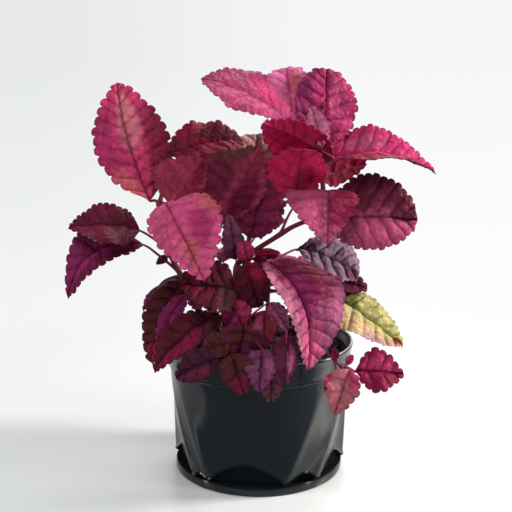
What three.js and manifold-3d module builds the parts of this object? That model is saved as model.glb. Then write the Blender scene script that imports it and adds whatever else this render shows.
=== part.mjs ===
// A potted coleus: a glossy black 14 cm pot with draped sides, filled with soil, and ten leafy stems
// that stand in holes in the soil. Millimetres, +Z up, front towards -Y, origin under the pot's centre.
import * as THREE from 'three';
import { mergeVertices } from 'three/addons/utils/BufferGeometryUtils.js';
import Module from 'manifold-3d';

const wasm = await Module();
wasm.setup();

// Pot
const POT_HEIGHT = 100;
const RIM_RADIUS = 71.5;
const RIM_CHAMFER = 1.2;
const WALL = 2.6;
const BAND_RADIUS = 68.8;
const BAND_BOTTOM = 82.5;
const BAND_STEP = 1.1;
const BAND_CHAMFER = 1;
const FOOT_RADIUS = 64;
const FOOT_HEIGHT = 6.5;
const FOOT_CHAMFER = 0.8;
const FOOT_RECESS = 2;
const SIDE_OUTSET = 0.6;
const SIDE_MIDDLE = 50;
const FLOOR_THICKNESS = 3;
const FLOOR_RADIUS = 52;
const DRAIN_RADIUS = 2;
const DRAIN_RING = 34;
const DRAIN_COUNT = 6;
const DRAIN_SIDES = 8;

// The drape: flat panels between slanting ridges, angles in degrees from the front, positive to +X
const PANEL_CENTRE = -8;
const RIDGES = [-155, -128, -86, -38, -26, 24, 48, 92, 130, 156];
const RIDGE_LEAN = 36;
const RIDGE_RISE = 1.2;
const PANEL_FLATNESS = 0.9;
const DRAPE_FADE = 55;
const DRAPE_LEFT_AT_BAND = 0.1;
const ARCH_HEIGHT = 12;
const ARCH_FULL_WIDTH = 44;
const ARCH_SPRING = 0.6;
const ARCH_POWER = 1.6;
const ARCH_LIP = 0.4;
const ARCH_UNDERCUT = 4.5;
const UNDERCUT_LEAN = 0.1;
const COLUMNS = [4, 7, 8, 3, 10, 4, 8, 6, 4, 10];

// Soil
const SOIL_TOP = 93;
const SOIL_GAP = 0.3;
const SOIL_SIDE_GAP = 0.7;
const SOIL_BUMP = 1.3;
const SOIL_SWELL = [7, 9];
const SOIL_RIPPLE = [3.7, 5];
const SOIL_SHOULDER = 88;
const SOIL_RINGS = [63.6, 50, 34, 17];
const SOIL_SIDES = 28;
const HOLE_FLOOR = 66;
const HOLE_GAP = 0.8;
const HOLE_SIDES = 8;

// Stems and stalks
const STEM_FOOT_HEIGHTS = [HOLE_FLOOR + SOIL_GAP, SOIL_TOP - 3, SOIL_TOP + 4];
const STEM_TAPER = 0.6;
const PETIOLE_RADIUS = 1.2;
const PETIOLE_LEAST = 0.5;
const PETIOLE_PER_WIDTH = 0.025;
const PETIOLE_TAPER = 0.45;
const PETIOLE_MIDDLE = 0.55;
const PETIOLE_SAG = 1;
const PETIOLE_SINK = 0.16;
const PETIOLE_STEPS = 3;
const PETIOLE_SIDES = 3;

// Leaves
const BLADE_THICKNESS = 0.9;
const BLADE_BELLY = 0.42;
const BLADE_POINT = 1;
const BLADE_ARCH = 0.08;
const BLADE_FOLD = 12;
const BLADE_CUP = 0.1;
const RUFFLE = 0.05;
const RUFFLE_WAVES = 2.3;
const RUFFLE_SHIFT = 0.35;
const TOOTH_DEPTH = 1.5;
const TOOTH_PITCH = 11;
const MOST_TEETH_ACROSS = 14;
const MARGIN_STRETCH = 1.12;
const INNER_ROW = 0.52;
const SLOPE_STEP = 0.01;

const radians = THREE.MathUtils.degToRad;
const point = (values) => new THREE.Vector3(...values);

// Solids: closed meshes, and the joins between them

function closedGeometry(positions, indices) {
  const geometry = new THREE.BufferGeometry();
  geometry.setAttribute('position', new THREE.Float32BufferAttribute(positions.flat(), 3));
  geometry.setIndex(indices);
  return geometry;
}

// Skins a stack of rings of equal count and closes its ends. Each ring turns counterclockwise as seen from
// the end of the stack.
function loft(rings) {
  const count = rings[0].length;
  const indices = [];
  for (let layer = 0; layer < rings.length - 1; layer++) {
    const low = layer * count;
    const high = low + count;
    for (let i = 0; i < count; i++) {
      const next = (i + 1) % count;
      indices.push(low + i, low + next, high + next, low + i, high + next, high + i);
    }
  }
  const top = (rings.length - 1) * count;
  for (let i = 1; i < count - 1; i++) {
    indices.push(0, i + 1, i, top, top + i, top + i + 1);
  }
  return closedGeometry(rings.flat(), indices);
}

function solid(geometry) {
  const bare = geometry.clone();
  bare.deleteAttribute('normal');
  bare.deleteAttribute('uv');
  const merged = mergeVertices(bare, 1e-4);
  return new wasm.Manifold(new wasm.Mesh({
    numProp: 3,
    vertProperties: Float32Array.from(merged.attributes.position.array),
    triVerts: Uint32Array.from(merged.index.array),
  }));
}

function geometryOf(body) {
  const mesh = body.getMesh();
  const geometry = new THREE.BufferGeometry();
  geometry.setAttribute('position', new THREE.Float32BufferAttribute(mesh.vertProperties, 3));
  geometry.setIndex(new THREE.Uint32BufferAttribute(mesh.triVerts, 1));
  geometry.computeVertexNormals();
  return geometry;
}

function united(bodies) {
  return bodies.reduce((whole, body) => whole.add(body));
}

// Pot

function ridgeAngle(ridge, height) {
  const up = THREE.MathUtils.clamp((height - FOOT_HEIGHT) / (BAND_BOTTOM - FOOT_HEIGHT), 0, 1);
  return ridge + RIDGE_LEAN * up * Math.sin(radians(2 * ridge));
}

// A panel's width in degrees at its foot.
function panelWidth(panel) {
  return (RIDGES[(panel + 1) % RIDGES.length] - RIDGES[panel] + 360) % 360;
}

// The point of the outer wall at a column of a panel, where share runs from one ridge to the next.
function wallPoint(panel, share, height, radius) {
  const from = ridgeAngle(RIDGES[panel], height);
  const next = (panel + 1) % RIDGES.length;
  const to = ridgeAngle(RIDGES[next], height) + (next === 0 ? 360 : 0);
  const angle = radians(PANEL_CENTRE + from + (to - from) * share);
  return [radius * Math.sin(angle), -radius * Math.cos(angle), height];
}

function potRing(heightAt, radiusAt, turnHeight) {
  const ring = [];
  for (let panel = 0; panel < RIDGES.length; panel++) {
    for (let column = 0; column < COLUMNS[panel]; column++) {
      const share = column / COLUMNS[panel];
      const height = heightAt(share, panel);
      const [x, y] = wallPoint(panel, share, turnHeight ?? height, radiusAt(share, height, panel));
      ring.push([x, y, height]);
    }
  }
  return ring;
}

function bodyRadius(height) {
  const up = (height - FOOT_HEIGHT) / (BAND_BOTTOM - FOOT_HEIGHT);
  return THREE.MathUtils.lerp(FOOT_RADIUS + SIDE_OUTSET, BAND_RADIUS - BAND_STEP, up);
}

// Proud on the ridges and almost flat between them, fading out towards the band.
function drape(share, height, panel) {
  const fade = THREE.MathUtils.clamp((BAND_BOTTOM - height) / DRAPE_FADE, DRAPE_LEFT_AT_BAND, 1);
  const across = Math.abs(2 * share - 1);
  const dip = PANEL_FLATNESS * FOOT_RADIUS * (1 - Math.cos(radians(panelWidth(panel) / 2)));
  return fade * (RIDGE_RISE * across ** 3 - dip * (1 - across ** 2));
}

function archHeight(share, panel) {
  const rise = (ARCH_HEIGHT * panelWidth(panel)) / ARCH_FULL_WIDTH;
  return FOOT_HEIGHT + ARCH_SPRING + rise * (1 - Math.abs(2 * share - 1) ** ARCH_POWER);
}

function potGeometry() {
  const level = (height) => () => height;
  const round = (radius) => () => radius;
  const draped = (share, height, panel) => bodyRadius(height) + drape(share, height, panel);
  const tucked = (share, height) => FOOT_RADIUS - FOOT_RECESS - ARCH_UNDERCUT * (1 - (2 * share - 1) ** 2)
    + UNDERCUT_LEAN * (height - FOOT_HEIGHT);
  const lip = (share, height) => tucked(share, height) + ARCH_LIP;
  const rings = [
    potRing(level(0), round(FOOT_RADIUS - FOOT_CHAMFER)),
    potRing(level(FOOT_CHAMFER), round(FOOT_RADIUS)),
    potRing(level(FOOT_HEIGHT), round(FOOT_RADIUS)),
    potRing(level(FOOT_HEIGHT + ARCH_SPRING / 2), tucked),
    potRing((share, panel) => archHeight(share, panel) - ARCH_SPRING / 2, lip),
    potRing(archHeight, draped),
    potRing((share, panel) => THREE.MathUtils.lerp(archHeight(share, panel), SIDE_MIDDLE, 0.5), draped),
    potRing(level(SIDE_MIDDLE), draped),
    potRing(level(BAND_BOTTOM - BAND_CHAMFER), draped),
    potRing(level(BAND_BOTTOM), round(BAND_RADIUS)),
    potRing(level(POT_HEIGHT - RIM_CHAMFER), round(RIM_RADIUS)),
    potRing(level(POT_HEIGHT), round(RIM_RADIUS - RIM_CHAMFER)),
    potRing(level(POT_HEIGHT), round(RIM_RADIUS - WALL)),
    potRing(level(FLOOR_THICKNESS), round(FLOOR_RADIUS), BAND_BOTTOM),
  ];
  let pot = solid(loft(rings));
  for (let drain = 0; drain < DRAIN_COUNT; drain++) {
    const angle = (2 * Math.PI * drain) / DRAIN_COUNT;
    const hole = new THREE.CylinderGeometry(DRAIN_RADIUS, DRAIN_RADIUS, 3 * FLOOR_THICKNESS, DRAIN_SIDES);
    hole.rotateX(Math.PI / 2);
    hole.translate(DRAIN_RING * Math.cos(angle), DRAIN_RING * Math.sin(angle), 0);
    pot = pot.subtract(solid(hole));
  }
  return geometryOf(pot);
}

// Soil

function soilHeight(x, y) {
  const swell = Math.sin(x / SOIL_SWELL[0] + 1) * Math.sin(y / SOIL_SWELL[1]);
  const ripple = Math.sin(x / SOIL_RIPPLE[0] - y / SOIL_RIPPLE[1]);
  return SOIL_TOP + SOIL_BUMP * (swell + ripple / 2);
}

function soilGeometry(stems) {
  const wallRadius = (height) => {
    const up = (height - FLOOR_THICKNESS) / (POT_HEIGHT - FLOOR_THICKNESS);
    return THREE.MathUtils.lerp(FLOOR_RADIUS, RIM_RADIUS - WALL, up) - SOIL_SIDE_GAP;
  };
  const ring = (radius, height) => {
    const points = [];
    for (let side = 0; side < SOIL_SIDES; side++) {
      const angle = (2 * Math.PI * side) / SOIL_SIDES;
      const x = radius * Math.cos(angle);
      const y = radius * Math.sin(angle);
      points.push([x, y, height ?? soilHeight(x, y)]);
    }
    return points;
  };
  const rings = [
    ring(wallRadius(FLOOR_THICKNESS), FLOOR_THICKNESS + SOIL_GAP),
    ring(wallRadius(SOIL_SHOULDER) - SOIL_GAP, SOIL_SHOULDER),
  ];
  for (const radius of SOIL_RINGS) {
    rings.push(ring(radius));
  }
  let soil = solid(loft(rings));
  for (const stem of stems) {
    soil = soil.subtract(stemHole(stem));
  }
  return geometryOf(soil);
}

// A plain upright hole around the straight foot of a stem.
function stemHole(stem) {
  const [x, y] = stem.foot;
  const radius = stem.radius * Math.SQRT2 + HOLE_GAP;
  const depth = POT_HEIGHT - HOLE_FLOOR;
  const hole = new THREE.CylinderGeometry(radius, radius, depth, HOLE_SIDES);
  hole.rotateX(Math.PI / 2);
  hole.translate(x, y, HOLE_FLOOR + depth / 2);
  return solid(hole);
}

// Stems

// A square stem swept along a curve, with the radius going from the first to the last value.
function sweep(path, from, to, steps, sides = 4) {
  const curve = new THREE.CatmullRomCurve3(path, false, 'centripetal');
  const frames = curve.computeFrenetFrames(steps, false);
  const rings = [];
  for (let step = 0; step <= steps; step++) {
    const share = step / steps;
    const centre = curve.getPointAt(share);
    const radius = THREE.MathUtils.lerp(from, to, share) * Math.SQRT2;
    const ring = [];
    for (let side = 0; side < sides; side++) {
      const angle = (2 * Math.PI * (side + 0.5)) / sides;
      const corner = centre.clone()
        .addScaledVector(frames.normals[step], radius * Math.cos(angle))
        .addScaledVector(frames.binormals[step], radius * Math.sin(angle));
      ring.push(corner.toArray());
    }
    rings.push(ring);
  }
  return solid(loft(rings));
}

// A stem stands upright in its hole, and its path starts just above the soil.
function stemCurve(stem) {
  const foot = STEM_FOOT_HEIGHTS.map((height) => point([...stem.foot, height]));
  return foot.concat(stem.path.map(point));
}

// Leaves

// The blade's frame: along from base to tip, up out of its upper face, side across it.
function bladeFrame(leaf) {
  const base = point(leaf.base);
  const along = point(leaf.tip).sub(base);
  const length = along.length();
  along.normalize();
  const up = point(leaf.face);
  up.addScaledVector(along, -up.dot(along)).normalize();
  const side = new THREE.Vector3().crossVectors(up, along);
  return { base, along, up, side, length };
}

// Bends a flat place of the blade, x along the midrib and y across it, in millimetres.
function bend(leaf, frame, x, y, lift) {
  const u = x / frame.length;
  const half = leaf.width / 2;
  const across = y / half;
  const bow = 4 * u * (1 - u) * frame.length;
  const fold = radians(leaf.fold ?? BLADE_FOLD);
  const ruffle = RUFFLE * Math.sin(2 * Math.PI * (RUFFLE_WAVES * u + (y > 0 ? RUFFLE_SHIFT : 0)));
  const rise = Math.abs(y) * Math.sin(fold) + (ruffle - BLADE_CUP) * half * across * across + lift;
  return frame.base.clone()
    .addScaledVector(frame.along, x)
    .addScaledVector(frame.side, y * Math.cos(fold) + (leaf.sway ?? 0) * bow)
    .addScaledVector(frame.up, rise + (leaf.arch ?? BLADE_ARCH) * bow);
}

// Half the blade's width at u from base 0 to tip 1, without its teeth, widest at its belly. A skewed blade
// is wider on one side, and a blade with a high point value has a drawn-out tip.
function halfWidth(leaf, u, sign) {
  const belly = leaf.belly ?? BLADE_BELLY;
  const tipPower = leaf.point ?? BLADE_POINT;
  const basePower = (tipPower * belly) / (1 - belly);
  const shape = (at) => at ** basePower * (1 - at) ** tipPower;
  return (leaf.width / 2) * (1 + sign * (leaf.skew ?? 0)) * (shape(u) / shape(belly));
}

// Places along the margin from base to tip, evenly spaced by arc length, as u values.
function marginStations(leaf, length, count) {
  const samples = 240;
  const lengths = [0];
  for (let i = 1; i <= samples; i++) {
    const step = halfWidth(leaf, i / samples, 0) - halfWidth(leaf, (i - 1) / samples, 0);
    lengths.push(lengths[i - 1] + Math.hypot(length / samples, step));
  }
  const stations = [];
  let i = 0;
  for (let k = 0; k <= count; k++) {
    const target = (lengths[samples] * k) / count;
    while (i < samples - 1 && lengths[i + 1] < target) {
      i++;
    }
    stations.push((i + (target - lengths[i]) / (lengths[i + 1] - lengths[i])) / samples);
  }
  return stations;
}

// The flat blank of a blade: rows of places from the left margin over the midrib to the right margin.
function bladeRows(leaf, length) {
  const pairs = Math.max(2, Math.round((length * MARGIN_STRETCH) / TOOTH_PITCH / 2));
  const stations = marginStations(leaf, length, 4 * pairs);
  const depth = Math.min(TOOTH_DEPTH, leaf.width / MOST_TEETH_ACROSS);
  const marginOf = (sign) => stations.map((u, k) => {
    const tooth = k % 2 === 1 ? depth : 0;
    const before = halfWidth(leaf, Math.max(0, u - SLOPE_STEP), sign);
    const after = halfWidth(leaf, Math.min(1, u + SLOPE_STEP), sign);
    const tilt = Math.atan((after - before) / (2 * SLOPE_STEP * length));
    return [u * length - tooth * Math.sin(tilt), halfWidth(leaf, u, sign) + tooth * Math.cos(tilt)];
  });
  const innerOf = (sign) => stations.filter((u, k) => k % 4 === 0)
    .map((u) => [u * length, INNER_ROW * halfWidth(leaf, u, sign)]);
  return { pairs, margins: [marginOf(1), marginOf(-1)], inners: [innerOf(1), innerOf(-1)] };
}

// Triangles of one side of the flat blank, between margin, inner row and midrib.
function bladeFace(rows, sign, add) {
  const { pairs } = rows;
  const [margin, inner] = sign > 0 ? [rows.margins[0], rows.inners[0]] : [rows.margins[1], rows.inners[1]];
  const triangles = [];
  const edge = margin.map(([x, y], k) => (k === 0 || k === 4 * pairs ? add(x, 0) : add(x, sign * y)));
  const row = inner.map(([x, y], k) => (k === 0 || k === pairs ? edge[4 * k] : add(x, sign * y)));
  const rib = inner.map(([x], k) => (k === 0 || k === pairs ? edge[4 * k] : add(x, 0)));
  const push = (a, b, c) => {
    if (a !== b && b !== c && c !== a) {
      triangles.push(sign > 0 ? [a, b, c] : [a, c, b]);
    }
  };
  for (let k = 0; k < pairs; k++) {
    push(row[k], edge[4 * k + 1], edge[4 * k]);
    push(row[k], edge[4 * k + 2], edge[4 * k + 1]);
    push(row[k], row[k + 1], edge[4 * k + 2]);
    push(row[k + 1], edge[4 * k + 3], edge[4 * k + 2]);
    push(row[k + 1], edge[4 * k + 4], edge[4 * k + 3]);
    push(rib[k], row[k + 1], row[k]);
    push(rib[k], rib[k + 1], row[k + 1]);
  }
  return { triangles, edge };
}

// A blade as a closed body: the upper face, the same triangles below it, and the rim between them.
function blade(leaf) {
  const frame = bladeFrame(leaf);
  const rows = bladeRows(leaf, frame.length);
  const flat = [];
  const seen = new Map();
  const add = (x, y) => {
    const key = `${x.toFixed(4)},${y.toFixed(4)}`;
    if (!seen.has(key)) {
      seen.set(key, flat.length);
      flat.push([x, y]);
    }
    return seen.get(key);
  };
  const left = bladeFace(rows, 1, add);
  const right = bladeFace(rows, -1, add);
  const faces = left.triangles.concat(right.triangles);
  const outline = left.edge.concat(right.edge.slice(1, -1).reverse());
  const lower = flat.length;
  const positions = [BLADE_THICKNESS / 2, -BLADE_THICKNESS / 2]
    .flatMap((lift) => flat.map(([x, y]) => bend(leaf, frame, x, y, lift).toArray()));
  const indices = faces.flatMap(([a, b, c]) => [a, b, c, lower + a, lower + c, lower + b]);
  outline.forEach((a, k) => {
    const b = outline[(k + 1) % outline.length];
    indices.push(a, b, lower + b, a, lower + b, lower + a);
  });
  return solid(closedGeometry(positions, indices));
}

// The leaf's stalk, from a place on its stem to a sunk end in the blade.
function petiole(leaf, curve) {
  const frame = bladeFrame(leaf);
  const start = curve.getPointAt(leaf.at);
  const inside = bend(leaf, frame, PETIOLE_SINK * frame.length, 0, 0);
  const heel = bend(leaf, frame, 0, 0, 0);
  const middle = start.clone().lerp(heel, PETIOLE_MIDDLE);
  middle.z += leaf.sag ?? PETIOLE_SAG;
  const radius = Math.min(PETIOLE_RADIUS, PETIOLE_LEAST + PETIOLE_PER_WIDTH * leaf.width);
  return sweep([start, middle, heel, inside], radius, PETIOLE_TAPER * radius, PETIOLE_STEPS, PETIOLE_SIDES);
}

function leafyStem(stem) {
  const path = stemCurve(stem);
  const curve = new THREE.CatmullRomCurve3(path, false, 'centripetal');
  const bodies = [sweep(path, stem.radius, stem.radius * STEM_TAPER, stem.steps)];
  for (const leaf of stem.leaves) {
    bodies.push(blade(leaf), petiole(leaf, curve));
  }
  return geometryOf(united(bodies));
}

// Every stem has its foot in the soil and a path above it. A leaf gives its share of the way up its stem,
// the blade's base and tip, the way its upper face looks, its width, and how it is shaped and bent: belly,
// point and skew of the outline, arch and sway of the midrib, fold of the halves, and sag of its stalk.
// Lengths are in millimetres and angles in degrees.
const STEMS = [
  {
    name: 'right_stem',
    radius: 2.4,
    steps: 14,
    foot: [-12, 0],
    path: [[-15, 0, 128], [-16, 0, 157], [-3, -2, 168], [10, -5, 177], [23, -8, 186], [43, -8, 197],
      [47, -4, 212], [44, 0, 232]],
    leaves: [
      { at: 0.97, base: [36, 0, 250], tip: [-42, 5, 294], face: [0.2, -0.5, 0.85], width: 52,
        fold: 5, arch: 0.1, belly: 0.66, skew: -0.15, point: 1.1 },
      { at: 0.95, base: [54, -5, 237], tip: [2, -22, 264], face: [0, 1, 0.5], width: 34,
        fold: 5, skew: -0.35 },
      { at: 0.98, base: [26, 10, 250], tip: [21, 45, 301], face: [0, -0.8, 0.6], width: 31,
        fold: 8, belly: 0.7, point: 0.55 },
      { at: 0.98, base: [46, 5, 243], tip: [51, 40, 300], face: [0.2, -0.85, 0.5], width: 44,
        fold: 10, belly: 0.48, point: 0.65 },
      { at: 0.99, base: [46, -5, 245], tip: [38, 5, 274], face: [0, -0.9, 0.4], width: 16, point: 1.3 },
      { at: 0.98, base: [52, 0, 235], tip: [131, 5, 225], face: [0, -0.42, 0.9], width: 50,
        fold: 28, arch: 0.13, belly: 0.3, point: 1.3 },
      { at: 0.9, base: [49, 5, 223], tip: [81, 20, 230], face: [0, 0.9, 0.4], width: 29 },
      { at: 0.66, base: [26, -12, 205], tip: [31, -30, 246], face: [0, 0.9, 0.4], width: 40,
        fold: 5, belly: 0.58, skew: -0.1, point: 0.7 },
      { at: 0.85, base: [49, -5, 193], tip: [115, -15, 193], face: [0.1, -0.9, 0.45], width: 56,
        fold: 6, belly: 0.5, skew: 0.15, point: 0.7 },
      { at: 0.88, base: [51, -10, 214], tip: [47, -50, 182], face: [0, -0.6, 0.8], width: 50,
        fold: 8, belly: 0.2, skew: -0.2 },
      { at: 0.85, base: [46, -8, 207], tip: [41, -12, 216], face: [0, -0.9, 0.4], width: 7 },
      { at: 0.4, base: [-17, -6, 162], tip: [-22, -15, 198], face: [0, -0.9, 0.3], width: 15 },
      { at: 0.38, base: [-8, -9, 160], tip: [-12, -20, 179], face: [0, -0.9, 0.3], width: 12,
        belly: 0.6, point: 0.6 },
      { at: 0.44, base: [-2, -6, 166], tip: [16, -13, 168], face: [0, -0.6, 0.8], width: 6 },
      { at: 0.36, base: [-10, -13, 164], tip: [0, -25, 130], face: [-0.1, -0.9, 0.3], width: 24,
        belly: 0.55 },
      { at: 0.97, base: [50, 8, 234], tip: [86, 64, 228], face: [0.3, 0.2, 0.9], width: 40, arch: 0.16 },
      { at: 0.98, base: [40, 10, 236], tip: [26, 66, 234], face: [-0.1, 0.2, 0.95], width: 33,
        arch: 0.14 },
    ],
  },
  {
    name: 'left_stem',
    radius: 2.2,
    steps: 12,
    foot: [-28, 5],
    path: [[-34, 3, 112], [-41, 0, 130], [-58, -2, 149], [-66, -4, 165], [-72, -5, 180], [-73, -5, 206]],
    leaves: [
      { at: 0.99, base: [-80, -5, 206], tip: [-106, 25, 291], face: [0.15, -0.9, 0.4], width: 52,
        fold: 10, sway: 0.05, belly: 0.45, skew: -0.08, point: 1.1 },
      { at: 0.99, base: [-68, 15, 237], tip: [-12, 35, 246], face: [0, -0.6, 0.8], width: 44,
        belly: 0.5, point: 0.7 },
      { at: 0.99, base: [-64, -12, 202], tip: [-39, -27, 239], face: [0, 0.9, 0.4], width: 36,
        skew: -0.3, point: 1.2 },
      { at: 0.97, base: [-68, -10, 205], tip: [-38, -50, 156], face: [-0.1, -0.75, 0.65], width: 50,
        belly: 0.33, skew: 0.25 },
      { at: 0.76, base: [-88, -5, 184], tip: [-139, -15, 187], face: [0, -0.5, 0.85], width: 48,
        fold: 18, belly: 0.42, skew: 0.2, point: 1.1 },
      { at: 0.62, base: [-85, -10, 174], tip: [-138, -30, 138], face: [-0.2, -0.8, 0.55], width: 31,
        arch: 0.14, sway: -0.2, skew: -0.15 },
      { at: 0.66, base: [-68, -5, 164], tip: [-76, -8, 159], face: [0, -0.9, 0.4], width: 6 },
      { at: 0.78, base: [-72, -5, 180], tip: [-77, 0, 187], face: [0, -0.9, 0.4], width: 5 },
      { at: 0.98, base: [-70, 4, 212], tip: [-60, 62, 202], face: [-0.1, 0.3, 0.95], width: 40,
        arch: 0.16 },
      { at: 0.45, base: [-55, 5, 144], tip: [-81, -9, 82], face: [-0.5, -0.6, 0.5], width: 32,
        arch: 0.12 },
    ],
  },
  {
    name: 'centre_stem',
    radius: 2.2,
    steps: 9,
    foot: [-7, 12],
    path: [[-9, 10, 125], [-10, 9, 157], [-7, 9, 180], [-6, 11, 203]],
    leaves: [
      { at: 0.9, base: [-28, -2, 186], tip: [2, -21, 248], face: [0, 0.9, 0.35], width: 56,
        fold: 6, belly: 0.46, skew: -0.35, point: 1.6 },
      { at: 0.99, base: [-3, 15, 203], tip: [-1, 50, 250], face: [0, -0.8, 0.6], width: 32,
        belly: 0.68, point: 0.6 },
      { at: 0.75, base: [-6, 5, 176], tip: [5, 10, 232], face: [0.1, -0.9, 0.3], width: 38, fold: 5 },
      { at: 0.95, base: [-10, 18, 198], tip: [-40, 66, 190], face: [-0.2, 0.1, 1], width: 46,
        arch: 0.18 },
      { at: 0.95, base: [0, 20, 198], tip: [32, 68, 196], face: [0.2, 0.1, 1], width: 44, arch: 0.16 },
      { at: 0.72, base: [-4, 20, 173], tip: [2, 76, 162], face: [0, 0.3, 1], width: 44, arch: 0.2 },
    ],
  },
  {
    name: 'front_right_stem',
    radius: 2,
    steps: 8,
    foot: [3, -11],
    path: [[6, -13, 120], [7, -12, 145], [8, -8, 163]],
    leaves: [
      { at: 0.98, base: [6, -16, 162], tip: [33, -71, 97], face: [0.3, -0.75, 0.5], width: 48,
        arch: 0.14, sway: 0.1, belly: 0.34, skew: 0.4, point: 0.8 },
      { at: 0.97, base: [29, 4, 168], tip: [75, 0, 148], face: [0, -0.5, 0.85], width: 42,
        belly: 0.55, point: 0.7 },
      { at: 0.75, base: [54, -6, 135], tip: [106, -25, 100], face: [0.3, -0.7, 0.7], width: 36,
        arch: 0.05, belly: 0.36, skew: -0.15, point: 0.9 },
      { at: 0.8, base: [50, 3, 144], tip: [82, 2, 137], face: [0, -0.6, 0.8], width: 20 },
      { at: 0.85, base: [4, 2, 144], tip: [8, 6, 168], face: [0, -0.9, 0.3], width: 20,
        belly: 0.6, point: 0.6 },
    ],
  },
  {
    name: 'front_left_stem',
    radius: 1.9,
    steps: 8,
    foot: [-22, -16],
    path: [[-23, -17, 112], [-29, -16, 130], [-38, -9, 146]],
    leaves: [
      { at: 0.9, base: [-18, -27, 143], tip: [-57, -38, 150], face: [-0.1, -0.7, 0.7], width: 42,
        belly: 0.36, point: 0.8 },
      { at: 0.7, base: [-23, -24, 136], tip: [-12, -31, 118], face: [0, -0.8, 0.6], width: 21,
        belly: 0.6, point: 0.6 },
      { at: 0.97, base: [-54, -13, 137], tip: [-75, -25, 103], face: [-0.3, -0.8, 0.5], width: 15 },
      { at: 0.6, base: [-28, -27, 125], tip: [-75, -49, 89], face: [-0.3, -0.6, 0.7], width: 31,
        arch: 0.14 },
      { at: 0.45, base: [-46, -34, 108], tip: [-70, -44, 93], face: [-0.3, -0.7, 0.6], width: 12 },
    ],
  },
  {
    name: 'low_front_stem',
    radius: 1.7,
    steps: 6,
    foot: [-10, -34],
    path: [[-12, -36, 104], [-11, -38, 116], [-7, -38, 128]],
    leaves: [
      { at: 0.45, base: [-27, -62, 103], tip: [-58, -64, 89], face: [-0.2, -0.7, 0.7], width: 25,
        arch: 0.14, point: 1.1, sag: 5 },
      { at: 0.75, base: [-9, -42, 123], tip: [-16, -56, 97], face: [0, -0.8, 0.6], width: 36,
        belly: 0.55, point: 0.7 },
      { at: 0.65, base: [-21, -53, 112], tip: [-41, -57, 107], face: [0, -0.8, 0.6], width: 19 },
      { at: 0.55, base: [-19, -63, 107], tip: [-10, -78, 82], face: [-0.1, -0.8, 0.6], width: 22,
        arch: 0.14 },
      { at: 0.8, base: [2, -62, 110], tip: [0, -80, 85], face: [0, -0.85, 0.5], width: 20, arch: 0.12 },
      { at: 0.97, base: [5, -38, 131], tip: [2, -52, 105], face: [0, -0.85, 0.4], width: 16 },
      { at: 0.97, base: [8, -33, 136], tip: [20, -42, 117], face: [0.2, -0.8, 0.5], width: 13 },
      { at: 0.7, base: [8, -72, 103], tip: [8, -78, 77], face: [0, -0.9, 0.3], width: 17, sag: 6 },
    ],
  },
  {
    name: 'low_right_stem',
    radius: 1.5,
    steps: 5,
    foot: [12, -34],
    path: [[14, -38, 104], [17, -43, 114], [20, -48, 120]],
    leaves: [
      { at: 0.8, base: [12, -54, 113], tip: [26, -62, 105], face: [0, -0.85, 0.5], width: 18 },
      { at: 0.97, base: [19, -60, 118], tip: [18, -81, 91], face: [0, 0.8, 0.4], width: 14, arch: -0.1 },
    ],
  },
  {
    name: 'right_sprig',
    radius: 1.1,
    steps: 8,
    foot: [27, -38],
    path: [[31, -42, 101], [38, -48, 105], [46, -54, 105], [58, -63, 97]],
    leaves: [
      { at: 0.99, base: [67, -62, 94], tip: [102, -60, 91], face: [0.1, -0.8, 0.6], width: 30,
        belly: 0.42, point: 1.5 },
      { at: 0.98, base: [63, -64, 96], tip: [52, -80, 69], face: [-0.1, -0.85, 0.5], width: 21 },
      { at: 0.9, base: [54, -65, 92], tip: [46, -74, 82], face: [0, -0.9, 0.3], width: 12 },
      { at: 0.98, base: [61, -60, 98], tip: [66, -56, 104], face: [0, -0.8, 0.6], width: 5 },
      { at: 0.93, base: [54, -60, 102], tip: [52, -58, 110], face: [0, -0.9, 0.3], width: 5 },
    ],
  },
  {
    name: 'back_left_stem',
    radius: 2,
    steps: 8,
    foot: [-30, 34],
    path: [[-36, 38, 115], [-38, 40, 138], [-36, 42, 158]],
    leaves: [
      { at: 0.97, base: [-42, 46, 160], tip: [-72, 62, 186], face: [-0.4, 0.3, 0.8], width: 40 },
      { at: 0.97, base: [-34, 48, 154], tip: [-30, 94, 138], face: [0, 0.3, 1], width: 42, arch: 0.16 },
      { at: 0.7, base: [-44, 40, 138], tip: [-92, 34, 112], face: [-0.3, 0.2, 0.9], width: 40,
        arch: 0.16 },
      { at: 0.68, base: [-36, 46, 134], tip: [-52, 88, 96], face: [-0.3, 0.6, 0.7], width: 38,
        arch: 0.18 },
      { at: 0.45, base: [-26, 46, 118], tip: [-16, 84, 86], face: [0, 0.7, 0.7], width: 34, arch: 0.16 },
    ],
  },
  {
    name: 'back_right_stem',
    radius: 2,
    steps: 8,
    foot: [28, 30],
    path: [[33, 34, 112], [35, 36, 132], [34, 38, 150]],
    leaves: [
      { at: 0.97, base: [40, 42, 152], tip: [74, 60, 172], face: [0.4, 0.3, 0.8], width: 40 },
      { at: 0.97, base: [32, 44, 148], tip: [30, 88, 132], face: [0, 0.3, 1], width: 40, arch: 0.16 },
      { at: 0.7, base: [40, 38, 132], tip: [86, 36, 110], face: [0.3, 0.2, 0.9], width: 38, arch: 0.16 },
      { at: 0.68, base: [36, 42, 128], tip: [54, 82, 94], face: [0.3, 0.6, 0.7], width: 36, arch: 0.18 },
    ],
  },
];

function leafMaterial() {
  return new THREE.MeshStandardMaterial({ color: '#9c2c56', roughness: 0.55, metalness: 0 });
}

function named(name, geometry, material) {
  const mesh = new THREE.Mesh(geometry, material);
  mesh.name = name;
  return mesh;
}

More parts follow.
